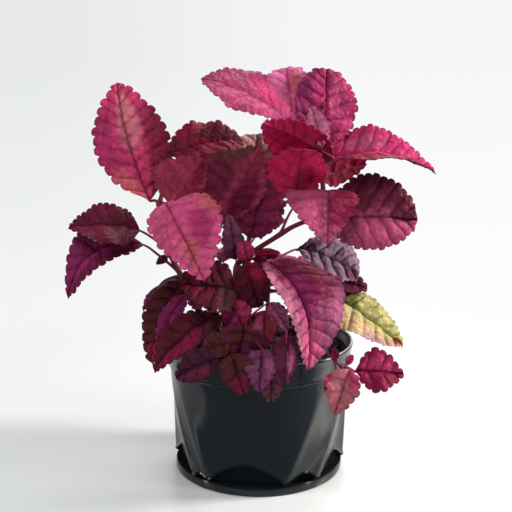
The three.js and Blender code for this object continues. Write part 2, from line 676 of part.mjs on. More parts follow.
const plant = new THREE.Group();
plant.add(named('pot', potGeometry(), new THREE.MeshStandardMaterial({
  color: '#22282b',
  roughness: 0.25,
  metalness: 0,
})));
plant.add(named('potting_soil', soilGeometry(STEMS), new THREE.MeshStandardMaterial({
  color: '#17120f',
  roughness: 1,
  metalness: 0,
})));
for (const stem of STEMS) {
  plant.add(named(stem.name, leafyStem(stem), leafMaterial()));
}

export default plant;
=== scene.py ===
# %% [markdown]
# A coleus in a glossy black pot. Ten leafy stems stand in dark soil, and their leaves run from hot pink
# through crimson and plum to nearly black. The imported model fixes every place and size. This file dresses
# it: a finer draped pot, crumbly soil, and leaves with teeth, ribs, veins and their own mixed colours.

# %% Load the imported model
import bpy
import math
import numpy as np
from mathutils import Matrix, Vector


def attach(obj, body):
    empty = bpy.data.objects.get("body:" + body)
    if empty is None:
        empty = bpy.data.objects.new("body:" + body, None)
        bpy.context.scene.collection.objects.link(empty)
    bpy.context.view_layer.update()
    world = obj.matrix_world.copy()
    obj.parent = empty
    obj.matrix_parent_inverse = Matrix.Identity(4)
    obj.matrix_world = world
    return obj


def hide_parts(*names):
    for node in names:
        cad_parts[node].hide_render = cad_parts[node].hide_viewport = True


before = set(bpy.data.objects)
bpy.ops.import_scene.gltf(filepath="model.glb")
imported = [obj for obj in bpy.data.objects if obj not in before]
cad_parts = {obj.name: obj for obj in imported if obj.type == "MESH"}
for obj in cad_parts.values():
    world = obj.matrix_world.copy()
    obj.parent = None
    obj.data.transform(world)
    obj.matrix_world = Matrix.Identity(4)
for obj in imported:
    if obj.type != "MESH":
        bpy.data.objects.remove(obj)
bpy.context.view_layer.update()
MM = 0.001
print("nodes:", sorted(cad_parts))

# %% [markdown]
# Tones are written as the hex shades that a painter would pick on a screen, and turned into the linear light
# that shading works with in one place. A finish is a small tree of nodes. It could be wired by hand, and a
# few helpers write the same wiring down in a line each.

# %% Tones and shader nodes
NOISE_LOW, NOISE_HIGH = 0.3, 0.7


def linear(shade):
    """An sRGB hex colour as linear red, green and blue."""
    parts = [int(shade[place:place + 2], 16) / 255 for place in (1, 3, 5)]
    return [part / 12.92 if part <= 0.04045 else ((part + 0.055) / 1.055) ** 2.4 for part in parts]


def add_node(tree, kind, settings=None, links=None):
    """Adds a shader node, with its settings by socket or property name and its links by socket."""
    node = tree.nodes.new("ShaderNode" + kind)
    for name, value in (settings or {}).items():
        if isinstance(name, int) or name in node.inputs:
            node.inputs[name].default_value = value
        else:
            setattr(node, name, value)
    for name, source in (links or {}).items():
        tree.links.new(source, node.inputs[name])
    return node


def graded(tree, value, low, high, start=0.0, end=1.0, way="LINEAR"):
    """Turns a value that runs from low to high into one that runs from start to end."""
    settings = {"interpolation_type": way, "From Min": low, "From Max": high, "To Min": start, "To Max": end}
    return add_node(tree, "MapRange", settings, {"Value": value}).outputs["Result"]


def between(tree, share, first, second):
    """A tone that goes from the first shade to the second as the share goes from 0 to 1."""
    ends = {"data_type": "RGBA", 6: (*linear(first), 1), 7: (*linear(second), 1)}
    return add_node(tree, "Mix", ends, {0: share}).outputs[2]


def noise(tree, size, detail, roughness=0.5):
    """A noise that stays on the piece, with patches of about a size in millimetres."""
    place = add_node(tree, "TexCoord").outputs["Object"]
    settings = {"Scale": 1 / (size * MM), "Detail": detail, "Roughness": roughness}
    return add_node(tree, "TexNoise", settings, {"Vector": place}).outputs["Fac"]


def new_finish(name):
    """An empty material: its node tree and its output."""
    material = bpy.data.materials.new(name)
    material.use_nodes = True
    material.node_tree.nodes.clear()
    return material, material.node_tree, add_node(material.node_tree, "OutputMaterial")


# %% [markdown]
# The camera stands a little above the leaves and looks slightly down, so that the pot's rim shows as a flat
# ellipse. A long lens from 70 cm keeps the pot's sides almost upright. The plain view transform leaves the
# tones as they are chosen.

# %% Camera
EYE = (-2.2, -700, 309)
LOOK_DOWN = 11.75
LENS = 67.2
SENSOR = 36

camera = bpy.data.cameras.new("camera")
camera.lens = LENS
camera.sensor_width = SENSOR
camera.clip_start = 0.01
eye = bpy.data.objects.new("camera", camera)
eye.location = [place * MM for place in EYE]
eye.rotation_euler = (math.radians(90 - LOOK_DOWN), 0, 0)
bpy.context.collection.objects.link(eye)
bpy.context.scene.camera = eye
bpy.context.scene.view_settings.view_transform = "Standard"
print("camera at", EYE, "mm, lens", LENS)

# %% [markdown]
# A glossy dark pot shows whatever is around it. So the room has two looks: the camera sees almost white
# paper, a little greyer to the left and higher up, while the plant is lit by a much dimmer one that is
# brighter above than in front. The paper's tone follows the direction from the eye, so table and wall meet
# without an edge.

# %% Room
HIGH_LEFT, HIGH_RIGHT = "#e6e8ea", "#f5f6f8"
LOW_LEFT, LOW_RIGHT = "#f3f5f4", "#fefefe"
LEFT_WAY, RIGHT_WAY = -0.26, 0.12
ROOM_LIGHT = "#eef3f8"
DIM_BELOW, BRIGHT_ABOVE = 0.03, 0.24
BELOW, ABOVE = -0.1, 0.9


def room_tone(tree, sideways, nearness=None):
    """The paper's tone by how far to the side a direction goes and, on the table, how near it comes."""
    share = graded(tree, sideways, LEFT_WAY, RIGHT_WAY, way="SMOOTHSTEP")
    high = between(tree, share, HIGH_LEFT, HIGH_RIGHT)
    if nearness is None:
        return high
    low = between(tree, share, LOW_LEFT, LOW_RIGHT)
    return add_node(tree, "Mix", {"data_type": "RGBA"}, {0: nearness, 6: high, 7: low}).outputs[2]


def light_room():
    """The seen paper for the camera's rays, and the dim light for all others."""
    world = bpy.data.worlds.new("studio")
    bpy.context.scene.world = world
    world.use_nodes = True
    tree = world.node_tree
    tree.nodes.clear()
    rays = add_node(tree, "LightPath")
    place = add_node(tree, "TexCoord")
    split = add_node(tree, "SeparateXYZ", links={"Vector": place.outputs["Generated"]})
    height = graded(tree, split.outputs["Z"], BELOW, ABOVE, DIM_BELOW, BRIGHT_ABOVE)
    seen = add_node(tree, "Background", links={"Color": room_tone(tree, split.outputs["X"])})
    given = add_node(tree, "Background", {"Color": (*linear(ROOM_LIGHT), 1)}, {"Strength": height})
    both = add_node(tree, "MixShader", links={"Fac": rays.outputs["Is Camera Ray"],
                                              1: given.outputs[0], 2: seen.outputs[0]})
    add_node(tree, "OutputWorld", links={"Surface": both.outputs[0]})
    print("room light from", DIM_BELOW, "to", BRIGHT_ABOVE)


light_room()

# %% [markdown]
# The lamps are a plain studio's: one from the upper right throws the soft shadow to the left, a broad one
# above fills the front, one behind shines through the thin leaves, and a tall strip at each side gives the
# pot's ridges their streaks. The broad ones mirror less in the gloss, or they would cover the pot with
# white.

# %% Lamps
LAMPS = {
    "key_right": dict(place=(1.05, 0.1, 0.62), aim=0.08, size=(0.24, 0.24), power=18, shade="#fffaf4"),
    "top_front": dict(place=(-0.1, -0.55, 1.05), aim=0.15, size=(0.8, 0.5), power=5, mirrored=0.4),
    "behind": dict(place=(0.15, 0.8, 0.75), aim=0.2, size=(0.7, 0.5), power=7, mirrored=0.05),
    "strip_left": dict(place=(-0.75, -0.25, 0.35), aim=0.1, size=(0.07, 0.7), power=2),
    "strip_right": dict(place=(0.8, -0.35, 0.35), aim=0.1, size=(0.06, 0.6), power=2),
}


def add_lamp(name, place, aim, size, power, shade="#ffffff", mirrored=1):
    """An oblong soft lamp at a place in metres, turned to face a height above the pot's middle."""
    lamp = bpy.data.lights.new(name, "AREA")
    lamp.shape = "RECTANGLE"
    lamp.size, lamp.size_y = size
    lamp.energy = power
    lamp.color = linear(shade)
    lamp.specular_factor = mirrored
    holder = bpy.data.objects.new(name, lamp)
    holder.location = place
    toward = Vector((0, 0, aim)) - holder.location
    holder.rotation_euler = toward.to_track_quat("-Z", "Y").to_euler()
    bpy.context.collection.objects.link(holder)


for name, lamp in LAMPS.items():
    add_lamp(name, **lamp)
print("lamps:", ", ".join(LAMPS))

# %% [markdown]
# The table top is white and slightly glossy. Near the pot it takes the shadow and a faint reflection, and
# further out it fades into the room's own tone, so no horizon shows. It lies a hair under the pot's foot.
# Its sizes are in metres, like those of the lamps and the card.

# %% Table top
TABLE_TONE = "#e4e6e6"
TABLE_RADIUS = 30
TABLE_GAP = 0.0002
FADE_START, FADE_END = 0.2, 0.5
NEAR_DROP = -0.2425


def lay_table():
    """A wide disc: a real surface near the pot, and only the room's tone far from it."""
    bpy.ops.mesh.primitive_circle_add(vertices=64, radius=TABLE_RADIUS, fill_type="NGON",
                                      location=(0, 0, -TABLE_GAP))
    floor = bpy.context.object
    floor.name = "floor"
    material, tree, out = new_finish("white_table_top")
    table = add_node(tree, "BsdfPrincipled", {"Base Color": (*linear(TABLE_TONE), 1), "Roughness": 0.3,
                                              "Specular IOR Level": 0.3})
    rays = add_node(tree, "LightPath")
    place = add_node(tree, "TexCoord")
    from_eye = add_node(tree, "VectorMath", {"operation": "ADD", 1: (0, -EYE[1] * MM, -EYE[2] * MM)},
                        {0: place.outputs["Object"]})
    way = add_node(tree, "VectorMath", {"operation": "NORMALIZE"}, {0: from_eye.outputs["Vector"]})
    split = add_node(tree, "SeparateXYZ", links={"Vector": way.outputs["Vector"]})
    near = graded(tree, split.outputs["Z"], 0.0, NEAR_DROP)
    room = add_node(tree, "Emission", links={"Color": room_tone(tree, split.outputs["X"], near)})
    far = add_node(tree, "VectorMath", {"operation": "LENGTH"}, {0: place.outputs["Object"]})
    fade = graded(tree, far.outputs["Value"], FADE_START, FADE_END, way="SMOOTHSTEP")
    seen = add_node(tree, "Math", {"operation": "MULTIPLY"}, {0: fade, 1: rays.outputs["Is Camera Ray"]})
    both = add_node(tree, "MixShader",
                    links={"Fac": seen.outputs[0], 1: table.outputs[0], 2: room.outputs[0]})
    tree.links.new(both.outputs[0], out.inputs["Surface"])
    floor.data.materials.append(material)
    print("table top fades out from", FADE_START, "to", FADE_END, "m")


lay_table()

# %% [markdown]
# The front of the pot mirrors the table before it, so a white table would turn it pale grey. Photographers
# lay a grey card there, and the gloss mirrors the card and stays dark. This one is seen in reflections only.
# It throws no shadow and lights nothing.

# %% Grey card
CARD_TONE = "#7f8c98"
CARD_MIDDLE = (0, -0.394, 0.0005)
CARD_SIZE = (0.9, 0.612)


def lay_card():
    """A grey card on the table in front, which only shows in reflections and throws no shadow."""
    bpy.ops.mesh.primitive_plane_add(size=1, location=CARD_MIDDLE)
    card = bpy.context.object
    card.name = "grey_card"
    bpy.ops.transform.resize(value=(*CARD_SIZE, 1), center_override=CARD_MIDDLE)
    bpy.ops.object.transform_apply(location=False, rotation=False, scale=True)
    card.visible_camera = False
    card.visible_shadow = False
    card.visible_diffuse = False
    material, tree, out = new_finish("grey_paper")
    paper = add_node(tree, "BsdfPrincipled", {"Base Color": (*linear(CARD_TONE), 1), "Roughness": 0.9,
                                              "Specular IOR Level": 0.1})
    tree.links.new(paper.outputs[0], out.inputs["Surface"])
    card.data.materials.append(material)
    print("grey card", CARD_SIZE, "m")


lay_card()

# %% [markdown]
# Every piece starts from a plain grid or disc that is then pulled into shape. Leaves and stalks are grids: a
# grid's rows can follow a midrib, and its last row can follow the teeth. Working by formula keeps each leaf
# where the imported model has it, and still lets one way of making serve a leaf of any size.

# %% Grids, and moving their places
def vertex_places(piece):
    """The places of a piece's vertices, a row for each."""
    flat = np.empty(3 * len(piece.data.vertices))
    piece.data.vertices.foreach_get("co", flat)
    return flat.reshape(-1, 3)


def grid_blank(name, columns, rows):
    """A flat grid and, for each of its vertices, its share of the way along and across."""
    bpy.ops.mesh.primitive_grid_add(x_subdivisions=columns, y_subdivisions=rows, size=1)
    piece = bpy.context.object
    piece.name = name
    shares = vertex_places(piece) + 0.5
    return piece, shares[:, 0], shares[:, 1]


def move_to(piece, places):
    """Puts the piece's vertices at places in millimetres."""
    piece.data.vertices.foreach_set("co", (np.asarray(places) * MM).ravel())
    piece.data.update()


def select_only(*pieces):
    """Selects pieces and nothing else, and makes the first one the active one."""
    bpy.ops.object.select_all(action="DESELECT")
    for piece in pieces:
        piece.select_set(True)
    bpy.context.view_layer.objects.active = pieces[0]


def in_edit_mode(piece, *steps):
    """Runs mesh operators on the whole of a piece."""
    select_only(piece)
    bpy.ops.object.mode_set(mode="EDIT")
    bpy.ops.mesh.select_all(action="SELECT")
    for step in steps:
        step()
    bpy.ops.object.mode_set(mode="OBJECT")


def weld():
    bpy.ops.mesh.remove_doubles(threshold=0.00002)


def face_outwards():
    bpy.ops.mesh.normals_make_consistent(inside=False)


# %% [markdown]
# Parts that grew together or were moulded together are joined into one piece. A finished piece rides on the
# one body and takes the place of the node that it stands for, which is hidden.

# %% Putting a finished piece in place
def joined(name, parts, crease):
    """Joins parts into one piece, smooth where faces meet at less than the crease's degrees."""
    select_only(*parts)
    if len(parts) > 1:
        bpy.ops.object.join()
    piece = bpy.context.object
    piece.name = name
    bpy.ops.object.shade_smooth_by_angle(angle=math.radians(crease))
    return piece


def hand_in(piece, node):
    """A finished piece rides on the one body and stands for a node, which is hidden."""
    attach(piece, "root")
    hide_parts(node)
    triangles = sum(len(face.vertices) - 2 for face in piece.data.polygons)
    print(piece.name, triangles, "triangles")


# %% [markdown]
# The pot is thin black plastic, moulded to look like cloth drawn in over a drum: a plain band under the rim,
# flat panels between slanting ridges, and arches where the cloth lifts off the foot. It could be sculpted or
# bridged from profiles. Here a plain pot is turned first, by drawing a circle up ring by ring, and its side
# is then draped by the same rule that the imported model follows, only finer and with rounder ridges.

# %% The pot's sizes, in millimetres and degrees
POT_HEIGHT = 100
RIM_RADIUS = 71.5
WALL = 2.6
BAND_RADIUS = 68.8
BAND_BOTTOM = 82.5
BAND_STEP = 1.1
FOOT_RADIUS = 64
FOOT_HEIGHT = 6.5
FOOT_RECESS = 2
SIDE_OUTSET = 0.6
FLOOR_THICKNESS = 3
FLOOR_RADIUS = 52
SOIL_TOP = 93
COLUMNS = 432
POT_CREASE = 35

# %% The drape's sizes
PANEL_CENTRE = -8
RIDGES = [-155, -128, -86, -38, -26, 24, 48, 92, 130, 156]
RIDGE_LEAN = 36
RIDGE_RISE = 1.2
RIDGE_ROUNDING = 6
ROUNDING_LIMITS = (0.12, 0.3)
PANEL_FLATNESS = 0.9
DRAPE_FADE = 55
DRAPE_LIMITS = (0.1, 1)
ARCH_START = 0.6
ARCH_HEIGHT = 12
ARCH_FULL_WIDTH = 44
ARCH_ROUNDNESS = 1.6
ARCH_UNDERCUT = 4.5
TUCK_SLOPE = 0.1
LIP_PROUD, LIP_RISE, LIP_HEIGHT = 0.7, 0.9, 0.7
LIP_TUCK = 1.2


# %% The plain pot's outline
def smooth(value, low, high):
    """Goes smoothly from 0 at low to 1 at high."""
    share = np.clip((value - low) / (high - low), 0, 1)
    return share * share * (3 - 2 * share)


def pot_profile():
    """Radius, height and zone of each ring, from the foot up the outside and down the inside.

    In the tuck and the drape the first number is a share of the way up, as heights differ there.
    """
    foot = [(3, 0), (0.9, 0), (0.3, 0.3), (0, 1),
            (0, FOOT_HEIGHT - 0.8), (0.3, FOOT_HEIGHT - 0.2), (1, FOOT_HEIGHT)]
    rings = [(FOOT_RADIUS - inset, height, "foot") for inset, height in foot]
    rings += [(share, FOOT_HEIGHT, "tuck") for share in np.linspace(0, 1, 7)]
    rings += [(share, BAND_BOTTOM, "drape") for share in np.linspace(0, 1, 40) ** 1.5]
    bead = [(-0.35, -0.1), (0.05, 0.3), (0.2, 0.8), (0.05, 1.4)]
    rings += [(BAND_RADIUS + proud, BAND_BOTTOM + rise, "band") for proud, rise in bead]
    lean = (RIM_RADIUS - BAND_RADIUS) / (POT_HEIGHT - BAND_BOTTOM)
    rings += [(BAND_RADIUS + lean * rise, BAND_BOTTOM + rise, "band") for rise in (3, 7, 11, 15)]
    middle, lip = RIM_RADIUS - WALL / 2, POT_HEIGHT - WALL / 2
    for turn in range(0, 181, 30):
        angle = math.radians(turn)
        rings.append((middle + WALL / 2 * math.cos(angle), lip + WALL / 2 * math.sin(angle), "band"))
    inner = RIM_RADIUS - WALL
    for share in (0.02, 0.04, 0.06, 0.07, 0.2, 0.5, 0.8, 1):
        rings.append((inner + (FLOOR_RADIUS - inner) * share,
                      lip + (FLOOR_THICKNESS - POT_HEIGHT + WALL / 2) * share, "inside"))
    return rings


def draw_up(profile):
    """A circle drawn up once for each ring of the profile, with each vertex's ring and column."""
    bpy.ops.mesh.primitive_circle_add(vertices=COLUMNS, radius=profile[0][0] * MM, fill_type="NGON")
    pot = bpy.context.object
    bpy.ops.object.mode_set(mode="EDIT")
    for _ in profile[1:]:
        bpy.ops.mesh.extrude_region_move(TRANSFORM_OT_translate={"value": (0, 0, MM)})
    bpy.ops.object.mode_set(mode="OBJECT")
    places = vertex_places(pot)
    ring = np.round(places[:, 2] / MM).astype(int)
    turn = np.degrees(np.arctan2(places[:, 1], places[:, 0]))
    return pot, ring, np.round(turn * COLUMNS / 360).astype(int) % COLUMNS


# %% The drape's rule
def ridge_angles(ridge, height):
    """Where a ridge runs at each height: it leans towards the front or the back on its way up."""
    up = np.clip((height - FOOT_HEIGHT) / (BAND_BOTTOM - FOOT_HEIGHT), 0, 1)
    return ridge + RIDGE_LEAN * up * np.sin(np.radians(2 * ridge))


def body_radius(height):
    """The radius of the plain cone between foot and band."""
    up = (height - FOOT_HEIGHT) / (BAND_BOTTOM - FOOT_HEIGHT)
    return FOOT_RADIUS + SIDE_OUTSET + (BAND_RADIUS - BAND_STEP - FOOT_RADIUS - SIDE_OUTSET) * up


def panels():
    """For each column of the pot: its panel's two ridges and the share of the way between them."""
    bounds = np.array([RIDGES[-1] - 360] + RIDGES)
    angle = np.arange(COLUMNS) * 360 / COLUMNS + bounds[0]
    which = np.clip(np.searchsorted(bounds, angle, side="right") - 1, 0, len(bounds) - 2)
    low, high = bounds[which], bounds[which + 1]
    return low, high, (angle - low) / (high - low)


def drape(share, height, width):
    """How far the side stands proud of the plain cone: rounded on the ridges, almost flat between them."""
    fade = np.clip((BAND_BOTTOM - height) / DRAPE_FADE, *DRAPE_LIMITS)
    across = np.abs(2 * share - 1)
    round_off = np.clip(RIDGE_ROUNDING / width, *ROUNDING_LIMITS)
    across = across - np.clip(across - 1 + round_off, 0, 1) ** 2 / (2 * round_off)
    dip = PANEL_FLATNESS * FOOT_RADIUS * (1 - np.cos(np.radians(width / 2)))
    return fade * (RIDGE_RISE * across ** 3 - dip * (1 - across ** 2))


def arch_lip(rise):
    """The rounded hem of an arch: proud just above its edge, and tucked in at the edge itself."""
    bulge = np.exp(-((rise - LIP_RISE) / LIP_HEIGHT) ** 2)
    return LIP_PROUD * bulge - LIP_TUCK * (1 - smooth(rise, 0, LIP_HEIGHT))


# %% [markdown]
# Two marks are painted on the pot's vertices for its finish. The recess under the arches is dull, as no lamp
# reaches in there. The top of the lip and the inner wall on the right are painted pale grey: a painted
# highlight where the light from behind glances off the rim. A picture wrapped round the pot could hold both,
# but a value on each vertex is enough for such soft marks.

# %% Make the pot
RECESS_RISE = 0.4
RECESS_INSET = 0.8
LIP_INSET = 0.3
INNER_REACH = 0.1
INNER_DEPTH = 2
RIM_HIGHLIGHT_START, RIM_HIGHLIGHT_END = 46, 66


def add_mark(piece, name, values):
    """Stores a value from 0 to 1 on each vertex, for a finish to read."""
    piece.data.attributes.new(name, "FLOAT", "POINT").data.foreach_set("value", values)


def make_pot():
    """Draws the rings up, drapes those between foot and band, marks the recesses and the painted rim
    highlight.
    """
    profile = pot_profile()
    pot, ring, column = draw_up(profile)
    low, high, share = (values[column] for values in panels())
    radius, height = (np.array([row[axis] for row in profile], float)[ring] for axis in (0, 1))
    zone = np.array([row[2] for row in profile])[ring]
    tuck, side = zone == "tuck", zone == "drape"
    up = radius.copy()
    full_rise = ARCH_HEIGHT * (high - low) / ARCH_FULL_WIDTH
    arch = FOOT_HEIGHT + ARCH_START + full_rise * (1 - np.abs(2 * share - 1) ** ARCH_ROUNDNESS)
    height[tuck] = (FOOT_HEIGHT + (arch - FOOT_HEIGHT) * up)[tuck]
    undercut = ARCH_UNDERCUT * (1 - (2 * share - 1) ** 2)
    radius[tuck] = (FOOT_RADIUS - FOOT_RECESS - undercut + TUCK_SLOPE * (height - FOOT_HEIGHT))[tuck]
    height[side] = (arch + (BAND_BOTTOM - arch) * up)[side]
    over_arch = height - arch
    radius[side] = (body_radius(height) + drape(share, height, high - low) + arch_lip(over_arch))[side]
    turn_height = np.where(zone == "inside", BAND_BOTTOM, height)
    left, right = ridge_angles(low, turn_height), ridge_angles(high, turn_height)
    angle = np.radians(PANEL_CENTRE + left + (right - left) * share)
    move_to(pot, np.column_stack([radius * np.sin(angle), -radius * np.cos(angle), height]))
    hem = side & (over_arch < RECESS_RISE)
    foot_edge = (zone == "foot") & (radius < FOOT_RADIUS - RECESS_INSET)
    add_mark(pot, "recess", np.where(tuck | hem | foot_edge, 1.0, 0.0))
    # Painted highlight: the lip's top and the inner wall are painted pale grey towards the right, where the
    # light from behind glances off them.
    lip_top = (height > POT_HEIGHT - WALL / 2) & (radius < RIM_RADIUS - LIP_INSET)
    inner_wall = ((zone == "inside") & (radius < RIM_RADIUS - WALL + INNER_REACH)
                  & (height > SOIL_TOP - INNER_DEPTH))
    rim_highlight_mask = np.where(lip_top | inner_wall, smooth(radius * np.sin(angle), RIM_HIGHLIGHT_START, RIM_HIGHLIGHT_END), 0.0)
    add_mark(pot, "painted_rim_highlight", rim_highlight_mask)
    in_edit_mode(pot, face_outwards)
    return joined("black_pot", [pot], POT_CREASE)


pot = make_pot()

# %% [markdown]
# The pot's finish is moulded polypropylene, coloured through and polished: it looks nearly black, with soft
# broad highlights on a slightly uneven skin. Two soft noises give the unevenness, one in height and one in
# roughness. The gloss is taken away in the recesses, and a painted highlight turns the right of the rim pale
# grey.

# %% The pot's finish
POT_BLACK = "#14181b"
# The pale grey of the painted highlight on the rim.
RIM_HIGHLIGHT_GREY = "#d2d6d8"
POT_GLOSS = 0.38
POT_ROUGHNESS = (0.11, 0.18)
MOULDING_WAVE = 14
DULL_PATCH = 20


def pot_finish():
    """Glossy black polypropylene: dark cool base, a mirror-like skin with faint waves of the moulding."""
    material, tree, out = new_finish("moulded_black_polypropylene")
    rough = graded(tree, noise(tree, DULL_PATCH, 3.0), NOISE_LOW, NOISE_HIGH, *POT_ROUGHNESS)
    bump = add_node(tree, "Bump", {"Strength": 0.25, "Distance": 0.5 * MM},
                    {"Height": noise(tree, MOULDING_WAVE, 1.0)})
    recess = add_node(tree, "Attribute", {"attribute_name": "recess"})
    shine = graded(tree, recess.outputs["Fac"], 0.0, 1.0, POT_GLOSS, 0.0)
    # Painted highlight: the marked part of the rim goes from black to pale grey.
    painted_rim_highlight = add_node(tree, "Attribute", {"attribute_name": "painted_rim_highlight"})
    tone = between(tree, painted_rim_highlight.outputs["Fac"], POT_BLACK, RIM_HIGHLIGHT_GREY)
    shader = add_node(tree, "BsdfPrincipled", {"IOR": 1.49},
                      {"Base Color": tone, "Roughness": rough, "Normal": bump.outputs["Normal"],
                       "Specular IOR Level": shine})
    tree.links.new(shader.outputs[0], out.inputs["Surface"])
    return material


pot.data.materials.append(pot_finish())
hand_in(pot, "pot")

# %% [markdown]
# The soil is a peat mix, nearly black when it is damp, with lumps, fibres and a few pale grains. A smooth
# disc would look like rubber, so the top is a fine disc with lumps pushed up by waves of four sizes, and
# loose crumbs lie on it. The disc's outermost row is pulled down the wall, and the opening below is closed.

# %% Soil
SOIL_BUMP, BUMP_SIZES = 1.3, (7, 9, 3.7, 5)
SOIL_SIDE_GAP = 0.7
SOIL_SIDES = 180
SOIL_ROWS = 64
TOP_SHARE = 0.96
BOTTOM_GAP = 0.3
LUMP_SIZES = (9, 5, 3, 1.9)
WAVES_A_SIZE = 5
LUMP_HEIGHT = 0.045
LUMPS_START = 0.05
SOIL_SEED = 7
SOIL_CREASE = 40


def soil_height(x, y):
    """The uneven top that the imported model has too."""
    a, b, c, d = BUMP_SIZES
    return SOIL_TOP + SOIL_BUMP * (np.sin(x / a + 1) * np.sin(y / b) + 0.5 * np.sin(x / c - y / d))


def wave(x, y, size, rng):
    """A wave of a size in millimetres that runs in a random way, from -1 to 1."""
    way, phase = rng.uniform(0, math.pi), rng.uniform(0, 2 * math.pi)
    return np.sin((x * math.cos(way) + y * math.sin(way)) * 2 * math.pi / size + phase)


def inside_radius(height):
    """The radius of the pot's inner wall."""
    up = (height - FLOOR_THICKNESS) / (POT_HEIGHT - FLOOR_THICKNESS)
    return FLOOR_RADIUS + (RIM_RADIUS - WALL - FLOOR_RADIUS) * up


def make_soil():
    """A disc of rings with a lumpy top and a plain tapered body."""
    soil, around, inward = grid_blank("soil", SOIL_SIDES, SOIL_ROWS)
    angle = 2 * math.pi * around
    reach = np.clip((1 - inward) / TOP_SHARE, 0, 1)
    radius = reach * (inside_radius(SOIL_TOP) - SOIL_SIDE_GAP)
    x, y = radius * np.cos(angle), radius * np.sin(angle)
    rng = np.random.default_rng(SOIL_SEED)
    lumps = np.zeros_like(x)
    for size in LUMP_SIZES:
        for _ in range(WAVES_A_SIZE):
            lumps += LUMP_HEIGHT * size * wave(x, y, size, rng)
    height = soil_height(x, y) + lumps * smooth(1 - reach, 0, LUMPS_START)
    bottom = inward < 0.001
    bottom_radius = inside_radius(FLOOR_THICKNESS) - SOIL_SIDE_GAP
    height[bottom] = FLOOR_THICKNESS + BOTTOM_GAP
    x[bottom] = bottom_radius * np.cos(angle[bottom])
    y[bottom] = bottom_radius * np.sin(angle[bottom])
    move_to(soil, np.column_stack([x, y, height]))
    in_edit_mode(soil, weld, lambda: bpy.ops.mesh.fill_holes(sides=0), face_outwards)
    return joined("soil", [soil], SOIL_CREASE)


# %% Crumbs
CRUMBS = 420
CRUMB_SIZES = (0.5, 1.6)
CRUMB_REACH = 63
CRUMB_REST = 0.5
CRUMB_SEED = 11
CRUMB_CREASE = 20
CRUMB_SHAPES, CRUMB_CORNERS = (0.6, 1.3), (0.8, 1.2)


def make_crumbs():
    """Small lumps of peat and a few pale grains, lying on the soil."""
    rng = np.random.default_rng(CRUMB_SEED)
    bpy.ops.mesh.primitive_ico_sphere_add(subdivisions=1, radius=1)
    model = bpy.context.object
    ball = np.array([corner.co[:] for corner in model.data.vertices])
    parts = []
    for _ in range(CRUMBS):
        size = rng.uniform(*CRUMB_SIZES)
        reach = math.sqrt(rng.uniform(0, 1)) * CRUMB_REACH
        angle = rng.uniform(0, 2 * math.pi)
        x, y = reach * math.cos(angle), reach * math.sin(angle)
        crumb = model.copy()
        crumb.data = model.data.copy()
        bpy.context.collection.objects.link(crumb)
        shape = ball * rng.uniform(*CRUMB_SHAPES, 3) * rng.uniform(*CRUMB_CORNERS, (len(ball), 1)) * size
        move_to(crumb, shape + [x, y, soil_height(x, y) + CRUMB_REST * size])
        parts.append(crumb)
    bpy.data.objects.remove(model)
    return joined("crumbs", parts, CRUMB_CREASE)


soil = make_soil()
crumbs = make_crumbs()

# %% [markdown]
# Damp peat drinks the light. Only the dry grains in it are paler, so one fine noise gives both the tone,
# from almost black to grey brown, and the relief. Soil and crumbs share the finish.

# %% The soil's finish
DAMP_PEAT, DRY_GRAIN = "#070504", "#3a322b"
GRAIN = 1.2


def soil_finish():
    """Damp peat: nearly black brown, dull, with small pale grains."""
    material, tree, out = new_finish("damp_peat_mix")
    grain = noise(tree, GRAIN, 6.0, 0.7)
    tone = add_node(tree, "ValToRGB", links={"Fac": grain})
    damp, dry = tone.color_ramp.elements
    damp.position, damp.color = 0.35, (*linear(DAMP_PEAT), 1)
    dry.position, dry.color = 0.78, (*linear(DRY_GRAIN), 1)
    bump = add_node(tree, "Bump", {"Strength": 0.8, "Distance": 0.6 * MM}, {"Height": grain})
    shader = add_node(tree, "BsdfPrincipled", {"Roughness": 0.75, "Specular IOR Level": 0.35},
                      {"Base Color": tone.outputs["Color"], "Normal": bump.outputs["Normal"]})
    tree.links.new(shader.outputs[0], out.inputs["Surface"])
    return material


peat = soil_finish()
for piece in (soil, crumbs):
    piece.data.materials.append(peat)
    hand_in(piece, "potting_soil")

# %% [markdown]
# No two coleus leaves are coloured alike. Each one has a tone for its upper side and one for its underside,
# and marks: softer patches of another tone at a place on the blade. A place is given as a share from base to
# tip, a share across from -1 to 1, and the patch's reach both ways.

# %% The leaves' tones
TONES = {
    "light_pink": "#e86a9c", "rose_mauve": "#c64c7a", "hot_pink": "#c4336a", "bright_rose": "#c23868",
    "pale_mauve": "#c0668a", "pale_rose": "#be5078", "pale_pink": "#be6e87", "rose": "#b94b73",
    "raspberry": "#b92d64", "ruby": "#b01a4c", "magenta": "#a82d5f", "deep_pink": "#a23a64",
    "dusty_rose": "#a04164", "madder": "#a03652", "old_rose": "#9a3250", "mauve": "#96466c",
    "violet": "#962a64", "bright_crimson": "#8c1032", "red_wine": "#870f32", "crimson": "#7d0f37",
    "lilac_grey": "#806478", "grey_plum": "#78405a", "maroon_rose": "#781932", "purple_plum": "#781c4e",
    "purple_wine": "#761c44", "plum": "#6e1e4b", "plum_lilac": "#6c3058", "wine": "#6b1030",
    "dusky_maroon": "#661a36", "dark_plum": "#62102f", "burgundy": "#5c0a20", "dusky": "#5c1c38",
    "dark_maroon": "#550f28", "grape": "#541434", "deep_purple": "#521434", "dark_wine": "#4e0a20",
    "deep_grape": "#3a0e26", "coral": "#c46e7a", "salmon": "#c25c66", "dull_salmon": "#ac5e68",
    "peach": "#c48e8e", "tan": "#ccaa80", "green": "#b4b070", "leaf_green": "#8c9632",
    "dark_olive": "#5a5a20", "rust": "#8b3a2a", "olive_brown": "#5a3434", "dusky_brown": "#5a2d3c",
    "brown": "#4a2018", "dark_brown": "#48181a",
}
